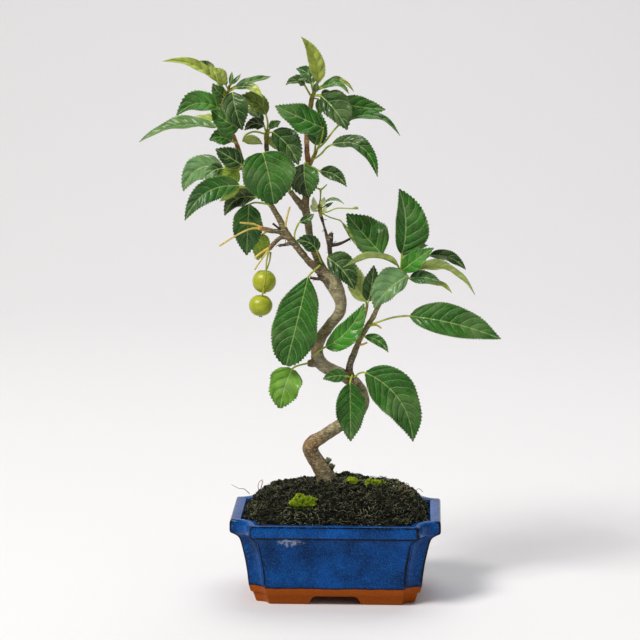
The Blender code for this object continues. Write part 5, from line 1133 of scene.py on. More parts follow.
def drain(side):
    """Cutter for a drain hole, left (-1) or right (1) of the middle."""
    work = bmesh.new()
    middle = Vector((side * DRAIN_SPACING / 2, 0.0, FLOOR_TOP)) * MM + POT_MIDDLE
    bmesh.ops.create_cone(work, cap_ends=True, segments=48, radius1=DRAIN_RADIUS * MM,
                          radius2=DRAIN_RADIUS * MM, depth=2 * FLOOR_TOP * MM,
                          matrix=Matrix.Translation(middle))
    return linked("drain", mesh_of("drain", work))


def carved(item, cutters):
    """The item's mesh with every cutter's shape taken out."""
    for cutter in cutters:
        cut = item.modifiers.new("cut", "BOOLEAN")
        cut.operation = "DIFFERENCE"
        cut.solver = "MANIFOLD"
        cut.object = cutter
    return taken_from(item, *cutters)


def level_at(height):
    """The pot's outer outline at a height, between its given levels."""
    for low, high in zip(POT_OUTSIDE, POT_OUTSIDE[1:]):
        if low[4] <= height <= high[4] and high[4] > low[4]:
            return mixed(low, high, (height - low[4]) / (high[4] - low[4]))
    return POT_OUTSIDE[-1]


def edge_wear(x, y, z):
    """How thin the glaze runs at a place on the pot, from 0 to 1."""
    if z < GLAZE_LINE:
        return 0.0
    width, depth, reach_x, reach_y, _ = level_at(z)
    near = min(math.hypot(abs(x) - width / 2 + reach_x, abs(y) - depth / 2),
               math.hypot(abs(x) - width / 2, abs(y) - depth / 2 + reach_y))
    wear = math.exp(-(near / WORN_CORNERS[x > 0]) ** 2)
    if abs(x) > width / 2 - NEAR_WALL or abs(y) > depth / 2 - NEAR_WALL:
        for height, band, strength in WORN_BANDS:
            wear = max(wear, strength * math.exp(-((z - height) / band) ** 2))
    elif z > LIP_FROM:
        wear = max(wear, LIP_WEAR)
    return wear


def lime_bloom(x, y, z):
    """How strongly lime from hard water shows on the pot's front, from 0 to 1."""
    away = ((x - LIME_MARK[0]) / LIME_SIZE[0]) ** 2 + ((z - LIME_MARK[1]) / LIME_SIZE[1]) ** 2
    return math.exp(-away) if y < POT_FRONT else 0.0


def build_pot():
    """The pot, lofted outside and in, cut below, and marked where its glaze changes."""
    outline = POT_OUTSIDE + POT_LIP + POT_INSIDE
    body = linked("pot_blank", lofted("pot_blank", [flat_level(*l) for l in outline]))
    recess = linked("underside", lofted("underside", [
        flat_level(*UNDERSIDE, -CUT_PAST), flat_level(*UNDERSIDE, FOOT_RISE)]))
    mesh = carved(body, [recess, wedge("front_gap", *FRONT_GAP, True),
                         wedge("side_gap", *SIDE_GAP, False), drain(-1), drain(1)])
    for name, strength in (("edge", edge_wear), ("lime", lime_bloom)):
        marks = mesh.attributes.new(name, "FLOAT", "POINT")
        for vert, mark in zip(mesh.vertices, marks.data):
            mark.value = strength(*((vert.co - POT_MIDDLE) / MM))
    mesh.shade_smooth()
    mesh.set_sharp_from_angle(angle=math.radians(SHARP_FROM))
    placed("glazed_pot", mesh, [cobalt_glaze()], "blue_glaze", "pot")


def mound_height(x, y):
    """Height of the soil's surface over the pot, in millimetres."""
    along = min(abs(2 * x) / (MOUND_TOP[0] + 3.0), 1.0)
    across = min(abs(2 * y) / (MOUND_TOP[1] + 3.0), 1.0)
    rise = MOUND_RISE * (1 - along ** 4) ** 0.7 * (1 - across ** 2.5) ** 0.8
    rise -= 1.5 * along + 4.5 * along ** 2 + 4.0 * along ** 6
    rough = noise.noise(Vector((x * 0.12, y * 0.12, 3.7))) * 0.9
    rise -= sum(depth * math.exp(-((x - middle) / width) ** 2)
                for middle, width, depth in MOUND_DIPS)
    return MOUND_EDGE + max(rise, 0.0) + rough


def soil_rings(edge):
    """Rings of the mound from its edge to its crown, turning from the pot's outline to
    an oval, with lumps."""
    across, along = MOUND_OVAL
    rings = []
    for k in range(MOUND_RINGS):
        share = MOUND_REACH * (1 - k / MOUND_RINGS)
        ring = []
        for x, y in edge:
            turn = math.atan2(y / along, x / across)
            oval = Vector((across * math.cos(turn), along * math.sin(turn)))
            x, y = Vector((x, y)).lerp(oval, min((1.0 - share) * 2.5, 1.0)) * share
            lump = sum(noise.noise(Vector((x * often, y * often, seed))) * height
                       for often, seed, height in MOUND_LUMPS)
            ring.append((x, y, mound_height(x, y) + lump))
        rings.append(ring)
    return rings


def build_soil():
    """The mound, filling the pot down to its floor, and everything strewn on it."""
    gap = 2 * CLEARANCE
    levels = []
    for width, depth, reach_x, reach_y, height in reversed(POT_INSIDE):
        lift = CLEARANCE if height == FLOOR_TOP else 0.0
        levels.append(flat_level(width - gap, depth - gap, reach_x, reach_y, height + lift))
    width, depth, reach_x, reach_y = MOUND_TOP
    edge = pot_outline(width - gap, depth - gap, reach_x, reach_y)
    levels.append([(x, y, MOUND_EDGE - 2.0) for x, y in edge])
    mesh = lofted("potting_soil", levels + soil_rings(edge))
    mesh.shade_smooth()
    # The mound's near-black finish is partly painted shade for the gaps between the crumbs
    placed("soil_mound", mesh, [matt_look("peat_with_painted_shade")], "potting_soil", "soil")
    chance = random.Random(4)
    strew_crumbs(mesh, chance)
    lay_fibres(mesh, chance)


def soil_spots(mesh, count, chance):
    """Random places spread evenly over the soil's open surface, with the way out."""
    mesh.calc_loop_triangles()
    open_ones = [t for t in mesh.loop_triangles if t.normal.z > -0.2
                 and t.center.z > (MOUND_EDGE - 1.0) * MM]
    spots = []
    for piece in chance.choices(open_ones, weights=[t.area for t in open_ones], k=count):
        corners = [mesh.vertices[i].co for i in piece.vertices]
        first, second = sorted((chance.random(), chance.random()))
        place = corners[0] * first + corners[1] * (second - first) + corners[2] * (1 - second)
        spots.append((place, piece.normal.copy()))
    return spots


def strewn(name, shape, spots):
    """One mesh of a small shape, given as a bmesh, repeated at every spot."""
    pattern = mesh_of(name + "_one", shape)
    work = bmesh.new()
    for spot in spots:
        one = pattern.copy()
        one.transform(spot)
        work.from_mesh(one)
        bpy.data.meshes.remove(one)
    bpy.data.meshes.remove(pattern)
    return mesh_of(name, work)


def strew_crumbs(soil, chance):
    """Crumbs of earth of many sizes lying on the mound, some of grit, bark and leaf."""
    for name, count, sizes, finish in CRUMBS:
        spots = []
        for place, away in soil_spots(soil, count, chance):
            size = sizes[0] + (sizes[1] - sizes[0]) * chance.random() ** 3
            turn = Matrix.Rotation(chance.uniform(0, 6.28), 4, chance.choice("XYZ"))
            stretch = Matrix.Diagonal((1.0, chance.uniform(0.6, 1.0), chance.uniform(0.5, 0.9), 1.0))
            drift = Vector((chance.uniform(-0.7, 0.7), chance.uniform(-0.7, 0.7), 0.0))
            spot = Matrix.Translation(place + (away * size * 0.3 + drift) * MM)
            spots.append(spot @ turn @ stretch @ Matrix.Scale(size * MM, 4))
        crumb = bmesh.new()
        bmesh.ops.create_icosphere(crumb, subdivisions=1, radius=1.0)
        mesh = strewn(name, crumb, spots)
        for vert in mesh.vertices:
            vert.co += noise.noise_vector(vert.co * 700.0) * 0.0005
        placed(name, mesh, [matt_look(finish)], "potting_soil")


def lay_fibres(soil, chance):
    """Fine dead roots and sphagnum threads on the soil, and a few dry twigs."""
    routes = []
    for place, away in soil_spots(soil, FIBRES, chance):
        turn = chance.uniform(0, 2 * math.pi)
        length = chance.uniform(1.2, 5.5)
        lift = chance.uniform(0.8, 2.6)
        radius = chance.uniform(0.07, 0.2)
        route = []
        along = Vector((math.cos(turn), math.sin(turn), chance.uniform(-0.3, 0.3)))
        along = (along - away * along.dot(away)).normalized()
        for k in range(5):
            share = k / 4
            bend = Vector([chance.uniform(-0.4, 0.4) for _ in range(3)])
            step = along * length * (share - 0.5) + away * lift * math.sin(share * math.pi)
            route.append((*(place + (step + bend) * MM), radius * MM))
        routes.append(route)
    twigs = [placed_rows(smooth_route(rows, 5)) for rows in SURFACE_TWIGS]
    placed("soil_fibres", tubes("soil_fibres", routes, 0), [matt_look("root_fibres")],
           "potting_soil")
    placed("soil_twigs", tubes("soil_twigs", twigs, 2), [matt_look("dry_twigs")],
           "potting_soil")


def build_moss():
    """Cushions of upright moss shoots over the frame's clumps, smaller tufts beside them,
    and grey-green lichen low on the trunk."""
    moss = (matt_look("moss_shoots"), matt_look("moss_bed"))
    chance = random.Random(9)
    for node, (x, y), (width, length, height) in MOSSES:
        centre = Vector((x, y, mound_height(x, y) + height * 0.1))
        moss_cushion(node + "_shoots", centre, (width, length, height * MOSS_SWELL),
                     MOSS_SHOOTS[width > BROAD_CUSHION], moss, chance, node)
    for i, (x, y, width) in enumerate(MOSS_TUFTS):
        centre = Vector((x, y, mound_height(x, y)))
        moss_cushion(f"moss_tuft_{i}", centre, (width, width * 0.7, width * 0.4), TUFT_SHOOTS,
                     moss, chance)
    lichen = (matt_look("lichen_lobes"), matt_look("lichen_bed"))
    for i, (place, size) in enumerate(LICHEN_TUFTS):
        moss_cushion(f"lichen_tuft_{i}", Vector(place), size, TUFT_SHOOTS, lichen, chance)


def cushion_place(away, half, centre):
    """A place on a lumpy cushion of the given half sizes, out along a direction."""
    swell = 0.84 + 0.26 * noise.noise(away * 1.7 + centre * 0.3)
    swell += 0.16 * noise.noise(away * 5.0 + centre)
    return Vector(c * h for c, h in zip(away, half)) * swell


def moss_cushion(name, centre, size, count, looks, chance, *nodes):
    """A lumpy cushion with shoots that lean outwards and up from it."""
    work = bmesh.new()
    bmesh.ops.create_uvsphere(work, u_segments=48, v_segments=24, radius=1.0)
    half = Vector(size) / 2
    for vert in work.verts:
        vert.co = (cushion_place(vert.co, half, centre) * 0.93 + centre) * MM + POT_MIDDLE
    for face in work.faces:
        face.material_index = 1
    spots = []
    for _ in range(count):
        turn = chance.uniform(0, 2 * math.pi)
        rise = chance.uniform(0.02, 1.0)
        flat = math.sqrt(1 - rise * rise)
        away = Vector((math.cos(turn) * flat, math.sin(turn) * flat, rise))
        spot = cushion_place(away, half, centre) + centre
        lean = (away + Vector((chance.uniform(-0.4, 0.4), chance.uniform(-0.4, 0.4), 0.5)))
        length = chance.uniform(1.0, 2.3)
        stand = Matrix.Translation((spot + lean.normalized() * length * 0.3) * MM + POT_MIDDLE)
        upright = lean.to_track_quat("Z", "Y").to_matrix().to_4x4()
        spots.append(stand @ upright @ Matrix.Diagonal((MM, MM, length * MM, 1.0)))
    shoot = bmesh.new()
    bmesh.ops.create_cone(shoot, cap_ends=True, segments=4, radius1=0.42, radius2=0.14,
                          depth=1.0)
    work.from_mesh(strewn(name + "_shoots", shoot, spots))
    mesh = mesh_of(name, work)
    mesh.shade_smooth()
    placed(name, mesh, looks, "moss", *nodes)


def merged_wood(limbs):
    """Limbs grown into one skin, roughened along their bark."""
    item = linked("bark_skin", tubes("bark_skin", [placed_route(rows, 6) for rows in limbs], 5))
    skin = item.modifiers.new("skin", "REMESH")
    skin.mode = "VOXEL"
    skin.voxel_size = WOOD_VOXEL * MM
    soft = item.modifiers.new("soft", "SMOOTH")
    soft.factor = 0.5
    soft.iterations = 3
    mesh = taken_from(item)
    roughened(mesh, (0.2, 0.42), (0.75, 0.2))
    mesh.shade_smooth()
    return mesh


def wood_colours(mesh):
    """Each place on the wood takes the tone of the limb it belongs to."""
    spots = []
    for rows, tones in WOOD_TONES:
        route = smooth_route(rows, 6)
        for k, (x, z, y, _) in enumerate(route):
            at = k / (len(route) - 1) * (len(tones) - 1)
            low = min(int(at), len(tones) - 2)
            tone = mixed(paint(tones[low]), paint(tones[low + 1]), at - low)
            spots.append((seen_at(x, z, y), tone))
    tree = kdtree.KDTree(len(spots))
    for k, (place, _) in enumerate(spots):
        tree.insert(place, k)
    tree.balance()
    tint = mesh.attributes.new("tint", "FLOAT_COLOR", "POINT")
    for vert, value in zip(mesh.vertices, tint.data):
        total = [0.0, 0.0, 0.0]
        weights = 0.0
        for _, k, gap in tree.find_n(vert.co, 4):
            weight = 1.0 / (gap + 1e-4) ** 2
            weights += weight
            for c in range(3):
                total[c] += spots[k][1][c] * weight
        value.color = (*[t / weights for t in total], 1.0)


def frayed(limbs):
    """Short curled shreds of dead bark standing off the limbs."""
    chance = random.Random(6)
    routes = []
    for rows in limbs:
        for x, y, z, radius in placed_route(rows, 8)[3::3]:
            place = Vector((x, y, z))
            away = Vector([chance.uniform(-1, 1) for _ in range(3)]).normalized()
            curl = Vector([chance.uniform(-1, 1) for _ in range(3)]).normalized()
            reach = chance.uniform(1.2, 3.4) * MM
            shred = []
            for k in range(6):
                share = k / 5
                turn = 3.2 * share
                step = away * (radius * 0.7 + reach * share * math.cos(turn * 0.4))
                step += curl * reach * 0.5 * (1 - math.cos(turn))
                shred.append((*(place + step), (0.32 - 0.22 * share) * MM))
            routes.append(shred)
    return routes


def scar_ring():
    """Route of the swollen callus ring where a branch was cut off the trunk."""
    ends = [seen_at(x, z, y) for x, z, y, _ in PRUNED_STUB]
    out = (ends[-1] - ends[0] + Vector((0.0, SCAR_LEAN, 0.0)) * MM).normalized()
    side = out.cross(Vector((0.0, 0.0, 1.0))).normalized()
    up = side.cross(out)
    ring = []
    for k in range(25):
        turn = k * 2 * math.pi / 24
        reach = (side * math.cos(turn) + up * math.sin(turn)) * SCAR_REACH * MM
        ring.append((*(ends[-1] + out * SCAR_STANDS * MM + reach), SCAR_THICK * MM))
    return ring


def build_wood():
    """The living wood in one skin, and the scar, stalks and dead twigs that stand on it."""
    mesh = merged_wood(WOODY_LIMBS)
    wood_colours(mesh)
    placed("trunk_and_branches", mesh, [bark_look()], "bark", "trunk")
    yellow = [placed_route(rows, 5) for rows in YELLOW_STALKS]
    dead = [placed_route(rows, 5) for rows in DEAD_TWIGS]
    dead += frayed([DEAD_SPUR, DEAD_STUB, DEAD_TWIG, SPUR_C, LOWER_SPUR])
    for name, routes, rounding, grain, finish in (
            ("pruning_scar", [scar_ring()], 3, (0.9, 0.2), "healing_callus"),
            ("yellow_stalks", yellow, 3, (1.4, 0.12), "drying_stalks"),
            ("dead_twigs", dead, 2, (1.4, 0.12), "dead_twigs")):
        mesh = tubes(name, routes, rounding)
        roughened(mesh, grain)
        placed(name, mesh, [matt_look(finish)], "bark")


def blade_shape(share, outline):
    """Half width of a leaf as a share of its greatest, from base (0) to tip (1)."""
    rise, fall = outline
    peak = rise / (rise + fall)
    top = peak ** rise * (1 - peak) ** fall
    return share ** rise * (1 - share) ** fall / top


def midrib(base, middle, tip):
    """The curve through three points, and its length."""
    first = (middle - base).length
    length = first + (tip - middle).length
    knee = first / length

    def place(t):
        to_base = (t - knee) * (t - 1) / knee
        to_middle = t * (t - 1) / (knee * (knee - 1))
        to_tip = t * (t - knee) / (1 - knee)
        return base * to_base + middle * to_middle + tip * to_tip

    return place, length


def leaf_tones(look, share, right):
    """Upper and under tone at a share of a leaf's length, on its right half or its left."""
    upper, _, under = look.partition("|")
    if ">" in upper:
        first, second = upper.split(">")
        blend = min(max((share - 0.35) / 0.3, 0.0), 1.0)
        tone = mixed(paint(LEAF_TONES[first]), paint(LEAF_TONES[second]), blend)
    else:
        # A split between the halves paints shade on one half of a folded leaf
        first, _, second = upper.partition("/")
        tone = paint(LEAF_TONES[first if right or not second else second])
    return tone, paint(LEAF_TONES[under or "felt"])


class Leaf:
    """One leaf worked out from its row in the table, in millimetres."""

    def __init__(self, row, chance):
        base, middle, tip, self.width, tilt, fold, self.bias, self.outline = row
        start, knee, end = (seen_at(*p) for p in (base, middle, tip))
        self.spine, length = midrib(start, knee, end)
        self.long = length / MM
        self.pitch = next(step for least, step in TOOTH_PITCHES if self.width > least)
        self.rows = max(4, round(self.long / self.pitch)) * TOOTH_ROWS
        self.pairs = max(4.0, round(self.long / NEXT_VEIN))
        self.turn = math.radians(tilt) * (1.0 if end.x >= start.x else -1.0)
        self.fold = math.radians(fold)
        self.drift = chance.uniform(0, 6.28)
        self.waves = chance.uniform(1.6, 2.6)
        self.teeth = min(TOOTH_REACH, 0.045 * self.width / 2 + 0.2)
        self.frames = [self.frame(k / self.rows) for k in range(self.rows + 1)]

    def frame(self, share):
        """Place on the midrib, way ahead, way out to one side, way up, and half width."""
        place = self.spine(share)
        ahead = (self.spine(share + 0.02) - self.spine(share - 0.02)).normalized()
        view = (place - EYE).normalized()
        side = view.cross(ahead).normalized()
        face = side.cross(ahead).normalized()
        if face.dot(view) > 0:
            face = -face
        sway = self.turn + 0.10 * math.sin(share * 5.0 + self.drift)
        out = side * math.cos(sway) + face * math.sin(sway)
        rise = face * math.cos(sway) - side * math.sin(sway)
        half = self.width / 2 * blade_shape(min(max(share, 0.006), 0.992), self.outline)
        return place, ahead, out, rise, max(half, 0.16)

    def half_width(self, k, share, across):
        """Half width at a place with its unevenness and teeth, and how far they lean."""
        _, _, out, _, half = self.frames[k]
        edge = abs(across)
        seed = 3.0 if across > 0 else 9.0
        upper_or_right = out.z if abs(out.z) > 0.35 else out.x
        half *= 1 + self.bias * (1 if across * upper_or_right > 0 else -1)
        half *= 1 + 0.1 * noise.noise(Vector((share * 4.5, self.drift, seed))) * edge
        if edge <= 0.8 or k in (0, self.rows):
            return half, 0.0
        tooth = (k % TOOTH_ROWS) / (TOOTH_ROWS - 1)
        grown = self.teeth * (tooth - 0.5) * (1.0 if edge > 0.99 else 0.35)
        grown *= 1.2 + 1.3 * noise.noise(Vector((share * self.long * 0.45, seed, self.drift)))
        half += grown * min(1.0, half / 2.0)
        return half, 0.3 * self.pitch * tooth if edge > 0.99 else 0.0

    def vein_count(self, share, edge):
        """How many side veins lie between the base and a place, as they slant outwards."""
        slant = VEIN_SLANT * (0.62 + 0.62 * edge) * edge
        return share * self.pairs - self.pairs * slant * (self.width / 2) / self.long

    def relief(self, vein, half, edge):
        """How deep the side veins and the midrib's groove lie at a place."""
        away = abs(vein - round(vein)) * self.long / self.pairs
        deep = -VEIN_DEPTH * math.exp(-(away / VEIN_HALF_WIDTH) ** 2) * min(half / 7.0, 1.0)
        deep *= 1 - edge ** 5
        groove = GROOVE_DEPTH * math.exp(-(edge * half / GROOVE_HALF_WIDTH) ** 2)
        return deep - groove * min(half / 6.0, 1.0)

    def ripple(self, share, half, across):
        """How far the margin waves up or down."""
        beat = share * 6.28 * self.waves + self.drift + (1.7 if across > 0 else 0.0)
        return 0.13 * half * abs(across) ** 3 * math.sin(beat)

    def grow(self, work, layers, look):
        """Adds the leaf's surface to work, with the measures that its veins are drawn by."""
        blade, measure, tint, under = layers
        made = bmesh.ops.create_grid(work, x_segments=LEAF_CELLS, y_segments=self.rows, size=1.0)
        for vert in made["verts"]:
            across = vert.co.x
            edge = abs(across)
            share = (vert.co.y + 1) / 2
            k = round(share * self.rows)
            place, ahead, out, rise, _ = self.frames[k]
            half, forward = self.half_width(k, share, across)
            vein = self.vein_count(share, edge)
            reach = edge * half
            lift = self.fold * (1 + 0.25 * math.sin(share * 4.0 + self.drift))
            height = reach * math.sin(lift) + self.relief(vein, half, edge)
            height += self.ripple(share, half, across)
            vert[blade] = (across, share, half)
            vert[measure] = (vein, self.long / self.pairs, self.long)
            vert[tint], vert[under] = leaf_tones(look, share, across * out.x > 0)
            vert.co = (place + out * math.copysign(reach, across) * math.cos(lift) * MM
                       + rise * height * MM + ahead * forward * MM)

    def rib(self):
        """Route of the midrib, sunk into the underside so that it just stands out."""
        route = []
        for k in range(0, self.rows + 1, TOOTH_ROWS):
            place, _, _, rise, half = self.frames[k]
            radius = (0.5 if self.width > BROAD_LEAF else 0.36) * (1 - k / self.rows) ** 0.8 + 0.08
            radius = min(radius, max(half * 0.6, 0.1))
            sunk = GROOVE_DEPTH * min(half / 6.0, 1.0) + radius - 0.02
            route.append((*(place - rise * sunk * MM), radius * MM))
        return route


def thickened(name, mesh):
    """Flat blades given their thickness, the underside in the second material."""
    flat = linked(name, mesh)
    thick = flat.modifiers.new("thickness", "SOLIDIFY")
    thick.thickness = bpy.context.scene.bonsai.leaf_thickness
    thick.offset = 0.0
    thick.material_offset = 1
    mesh.materials.append(None)
    mesh.materials.append(None)
    blades = taken_from(flat)
    blades.shade_smooth()
    return blades


def grow_spray(name, spray):
    """The blades and the stalks of one node, and its shoot where it has several leaves."""
    chance = random.Random(name)
    work = bmesh.new()
    layers = (work.verts.layers.float_vector.new("blade"),
              work.verts.layers.float_vector.new("measure"),
              work.verts.layers.float_color.new("tint"),
              work.verts.layers.float_color.new("under_tint"))
    alone = len(spray["leaves"]) == 1
    stem = placed_rows(spray["stem"])
    first, second = Vector(stem[0][:3]), Vector(stem[1][:3])
    sunk = first + (first - second).normalized() * STEM_SINKS * MM
    stem.insert(0, (*sunk, stem[0][3]))
    routes = []
    for row, look in zip(spray["leaves"], LEAF_LOOKS[name].split()):
        stalk, base = row[0], row[1]
        leaf = Leaf(row[1:], chance)
        leaf.grow(work, layers, look)
        thick = (STALK_RADIUS if leaf.width > SMALL_LEAF_WIDTH else SMALL_STALK_RADIUS) * MM
        root = stem if alone else [(*seen_at(*p), thick) for p in stalk]
        route = smooth_route(root + [(*seen_at(*base), thick * 0.9)], 5)
        routes.append(route + leaf.rib()[1:])
    routes += [placed_route(stalk, 4) for stalk in spray.get("stalks", [])]
    blades = thickened(name + "_flat", mesh_of(name + "_flat", work))
    shoot = None if alone else tubes(name + "_shoot", [smooth_route(stem, 4)], 3)
    return blades, tubes(name + "_stalks", routes, 2), shoot


def build_leaves():
    """Every spray: its blades, its stalks and its shoot."""
    faces = [leaf_look("leaf_upper_side", "tint", "#b0cc88", drawn=0.8, net_drawn=0.18,
                       roughness=0.33, coat=0.2),
             leaf_look("leaf_felted_underside", "under_tint", "#dfe6b4", drawn=0.9,
                       net_drawn=0.35, roughness=0.8, coat=0.0)]
    stalk_look = matt_look("leaf_stalks")
    young = matt_look("young_shoot_bark")
    for name, spray in SPRAYS.items():
        blades, stalks, shoot = grow_spray(name, spray)
        placed(name + "_blades", blades, faces, "leaf_green", name)
        placed(name + "_stalks", stalks, [stalk_look], "leaf_green")
        if shoot:
            roughened(shoot, (0.8, 0.25))
            placed(name + "_shoot", shoot, [young], "leaf_green")


def apple(name, centre, flatness):
    """An apple's flesh, dimpled at both ends and faintly five-lobed."""
    work = bmesh.new()
    bmesh.ops.create_uvsphere(work, u_segments=72, v_segments=44, radius=1.0)
    middle = seen_at(*centre)
    for vert in work.verts:
        side = math.hypot(vert.co.x, vert.co.y)
        turn = math.atan2(vert.co.y, vert.co.x)
        dimple = DIMPLE_DEPTH * math.exp(-(side / DIMPLE_WIDTH) ** 2)
        if vert.co.z < 0:
            dimple *= 0.8
        lobes = 1 + 0.012 * math.cos(5 * turn) * side
        lobes += 0.012 * noise.noise(vert.co * 1.6 + Vector(centre) * 0.05)
        vert.co.z *= (1 - dimple) * flatness
        vert.co *= lobes * FRUIT_RADIUS * MM
        vert.co += middle
    mesh = mesh_of(name, work)
    mesh.shade_smooth()
    return mesh


def calyx(name, centre, flatness):
    """Dry sepals spread under an apple."""
    work = bmesh.new()
    low = seen_at(*centre) - Vector((0.0, 0.0, FRUIT_RADIUS * flatness * 0.86 * MM))
    for k in range(SEPALS):
        turn = Matrix.Rotation(k * 2 * math.pi / SEPALS, 4, "Z")
        lean = Matrix.Rotation(math.radians(38), 4, "X")
        out = Matrix.Translation((0.0, 0.0, -1.0 * MM))
        bmesh.ops.create_cone(work, cap_ends=True, segments=6, radius1=0.12 * MM,
                              radius2=0.5 * MM, depth=SEPAL_LENGTH * MM,
                              matrix=Matrix.Translation(low) @ turn @ lean @ out)
    return mesh_of(name, work)


def build_fruit():
    """The two apples, each with its stalk and its dry calyx."""
    skin = apple_look()
    stalk_look = matt_look("fruit_stalks")
    dry = matt_look("dried_calyx")
    for name, (centre, flatness, stalk) in FRUITS.items():
        stem = tubes(name + "_stem", [placed_route(stalk, 6)], 3)
        placed(name + "_flesh", apple(name + "_flesh", centre, flatness), [skin],
               "apple_skin", name)
        placed(name + "_stem", stem, [stalk_look], "apple_skin")
        placed(name + "_calyx", calyx(name + "_calyx", centre, flatness), [dry], "apple_skin")


def paper_sweep():
    """Pale paper that lies under the pot and rises behind it in one round bend."""
    look, tree, shader, place = new_look("pale_paper_sweep")
    grain = add(tree, "TexNoise", {"Vector": place, "Scale": per_metre(3.333)}).outputs["Fac"]
    fed(tree, shader, {"Base Color": coated(tree, "#d7d6d7", (grain, "#dad9da")),
                       "Roughness": 0.9})
    work = bmesh.new()
    made = bmesh.ops.create_grid(work, x_segments=1, y_segments=40, size=1.0)
    for vert in made["verts"]:
        run = (vert.co.y + 1) / 2
        x = vert.co.x * SWEEP_HALF
        if run < 0.5:
            vert.co = Vector((x, SWEEP_FRONT + run * 2 * (SWEEP_BEND - SWEEP_FRONT), 0.0))
        else:
            turn = (run - 0.5) * 2 * math.radians(88)
            vert.co = Vector((x, SWEEP_BEND + SWEEP_ROUND * math.sin(turn),
                              SWEEP_ROUND - SWEEP_ROUND * math.cos(turn)))
    top = [e for e in work.edges if all(v.co.z > 1.5 for v in e.verts)
           and abs(e.verts[0].co.x - e.verts[1].co.x) > 1]
    lifted = bmesh.ops.extrude_edge_only(work, edges=top)
    bmesh.ops.translate(work, vec=SWEEP_TOP,
                        verts=[g for g in lifted["geom"] if isinstance(g, bmesh.types.BMVert)])
    mesh = mesh_of("paper_sweep", work)
    mesh.shade_smooth()
    mesh.materials.append(look)
    linked("paper_sweep", mesh)


def build_stage():
    """A pale seamless sweep, a broad soft light from the upper left, a weak fill, a light
    from above, and the camera at the height and turn that the plant is seen from."""
    scene = bpy.context.scene
    paper_sweep()
    for name, place, size, power, tone in SOFTBOXES:
        light = bpy.data.lights.new(name, "AREA")
        light.shape = "SQUARE"
        light.size = size
        light.energy = power * scene.bonsai.light_strength
        light.color = paint(tone)[:3]
        lamp = linked(name, light)
        lamp.location = place
        lamp.rotation_euler = (LIGHTS_AIM - Vector(place)).to_track_quat("-Z", "Y").to_euler()
    scene.world = bpy.data.worlds.new("studio")
    scene.world.use_nodes = True
    tree = scene.world.node_tree
    fed(tree, tree.nodes["Background"], {"Color": "#f4f5f8", "Strength": 0.2})
    scene.view_settings.view_transform = "Standard"
    camera = bpy.data.cameras.new("front_view")
    camera.lens = EYE_LENS
    camera.sensor_width = FILM_WIDTH
    camera.clip_end = 30.0
    eye = linked("front_view", camera)
    eye.location = EYE
    eye.rotation_euler = (math.radians(90 - EYE_PITCH), 0.0, math.radians(EYE_YAW))
    scene.camera = eye


class BonsaiSettings(bpy.types.PropertyGroup):
    """The size, colours and light that a user may change"""
    leaf_thickness: bpy.props.FloatProperty(
        name="Leaf thickness", description="Thickness of a leaf's blade",
        default=0.0004, min=0.0002, max=0.001, unit="LENGTH", subtype="DISTANCE")
    glaze_colour: bpy.props.FloatVectorProperty(
        name="Glaze", description="Main tone of the pot's glaze",
        size=4, default=paint("#054792"), min=0.0, max=1.0, subtype="COLOR")
    fruit_colour: bpy.props.FloatVectorProperty(
        name="Fruit", description="Riper of the two tones of the apples' skin",
        size=4, default=paint("#b0b034"), min=0.0, max=1.0, subtype="COLOR")
    light_strength: bpy.props.FloatProperty(
        name="Light", description="Strength of the studio lights as a share of the usual",
        default=1.0, min=0.1, max=3.0, subtype="FACTOR")


class BONSAI_OT_pot(bpy.types.Operator):
    """Models the glazed pot"""
    bl_idname = "bonsai.pot"
    bl_label = "Pot"

    def execute(self, context):
        build_pot()
        return {"FINISHED"}


class BONSAI_OT_soil(bpy.types.Operator):
    """Models the soil with its crumbs, fibres and twigs"""
    bl_idname = "bonsai.soil"
    bl_label = "Soil"

    def execute(self, context):
        build_soil()
        return {"FINISHED"}


class BONSAI_OT_moss(bpy.types.Operator):
    """Models the moss cushions and the lichen on the trunk"""
    bl_idname = "bonsai.moss"
    bl_label = "Moss"

    def execute(self, context):
        build_moss()
        return {"FINISHED"}


class BONSAI_OT_wood(bpy.types.Operator):
    """Models the trunk, the branches and the dead twigs"""
    bl_idname = "bonsai.wood"
    bl_label = "Wood"

    def execute(self, context):
        build_wood()
        return {"FINISHED"}


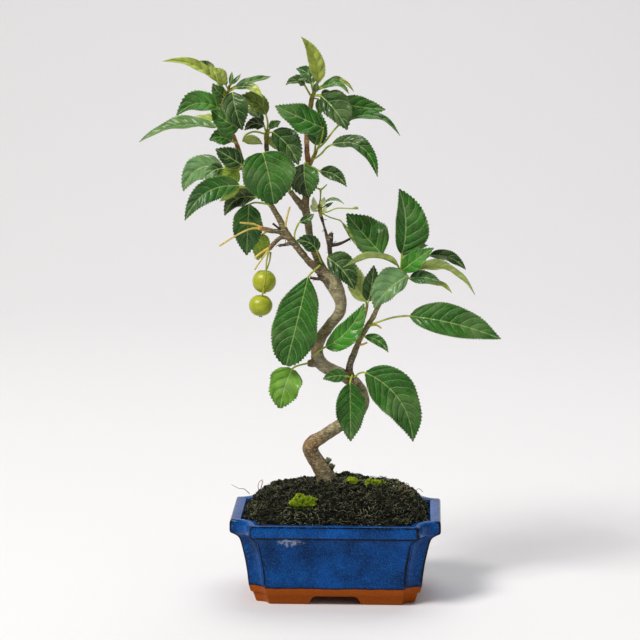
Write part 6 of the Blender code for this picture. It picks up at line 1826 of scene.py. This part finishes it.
class BONSAI_OT_leaves(bpy.types.Operator):
    """Models every leaf with its stalk"""
    bl_idname = "bonsai.leaves"
    bl_label = "Leaves"

    def execute(self, context):
        build_leaves()
        return {"FINISHED"}


class BONSAI_OT_fruit(bpy.types.Operator):
    """Models the two crabapples"""
    bl_idname = "bonsai.fruit"
    bl_label = "Fruit"

    def execute(self, context):
        build_fruit()
        return {"FINISHED"}


class BONSAI_OT_stage(bpy.types.Operator):
    """Sets up the paper sweep, the lights and the camera"""
    bl_idname = "bonsai.stage"
    bl_label = "Stage"

    def execute(self, context):
        build_stage()
        return {"FINISHED"}


OPERATORS = (BONSAI_OT_pot, BONSAI_OT_soil, BONSAI_OT_moss, BONSAI_OT_wood,
             BONSAI_OT_leaves, BONSAI_OT_fruit, BONSAI_OT_stage)


class BONSAI_PT_panel(bpy.types.Panel):
    """Lists the bonsai's pieces"""
    bl_idname = "BONSAI_PT_panel"
    bl_label = "Crabapple bonsai"
    bl_space_type = "VIEW_3D"
    bl_region_type = "UI"
    bl_category = "Bonsai"

    def draw(self, context):
        for setting in BonsaiSettings.__annotations__:
            self.layout.prop(context.scene.bonsai, setting)
        for operator in OPERATORS:
            self.layout.operator(operator.bl_idname)


def register():
    """Makes the settings, the operators and the panel known"""
    bpy.utils.register_class(BonsaiSettings)
    for operator in OPERATORS:
        bpy.utils.register_class(operator)
    bpy.utils.register_class(BONSAI_PT_panel)
    bpy.types.Scene.bonsai = bpy.props.PointerProperty(type=BonsaiSettings)


def unregister():
    """Takes back what register makes known"""
    del bpy.types.Scene.bonsai
    bpy.utils.unregister_class(BONSAI_PT_panel)
    for operator in reversed(OPERATORS):
        bpy.utils.unregister_class(operator)
    bpy.utils.unregister_class(BonsaiSettings)


def main():
    """Builds every piece and the stage"""
    register()
    bpy.ops.bonsai.pot()
    bpy.ops.bonsai.soil()
    bpy.ops.bonsai.moss()
    bpy.ops.bonsai.wood()
    bpy.ops.bonsai.leaves()
    bpy.ops.bonsai.fruit()
    bpy.ops.bonsai.stage()


if __name__ == "__main__":
    main()
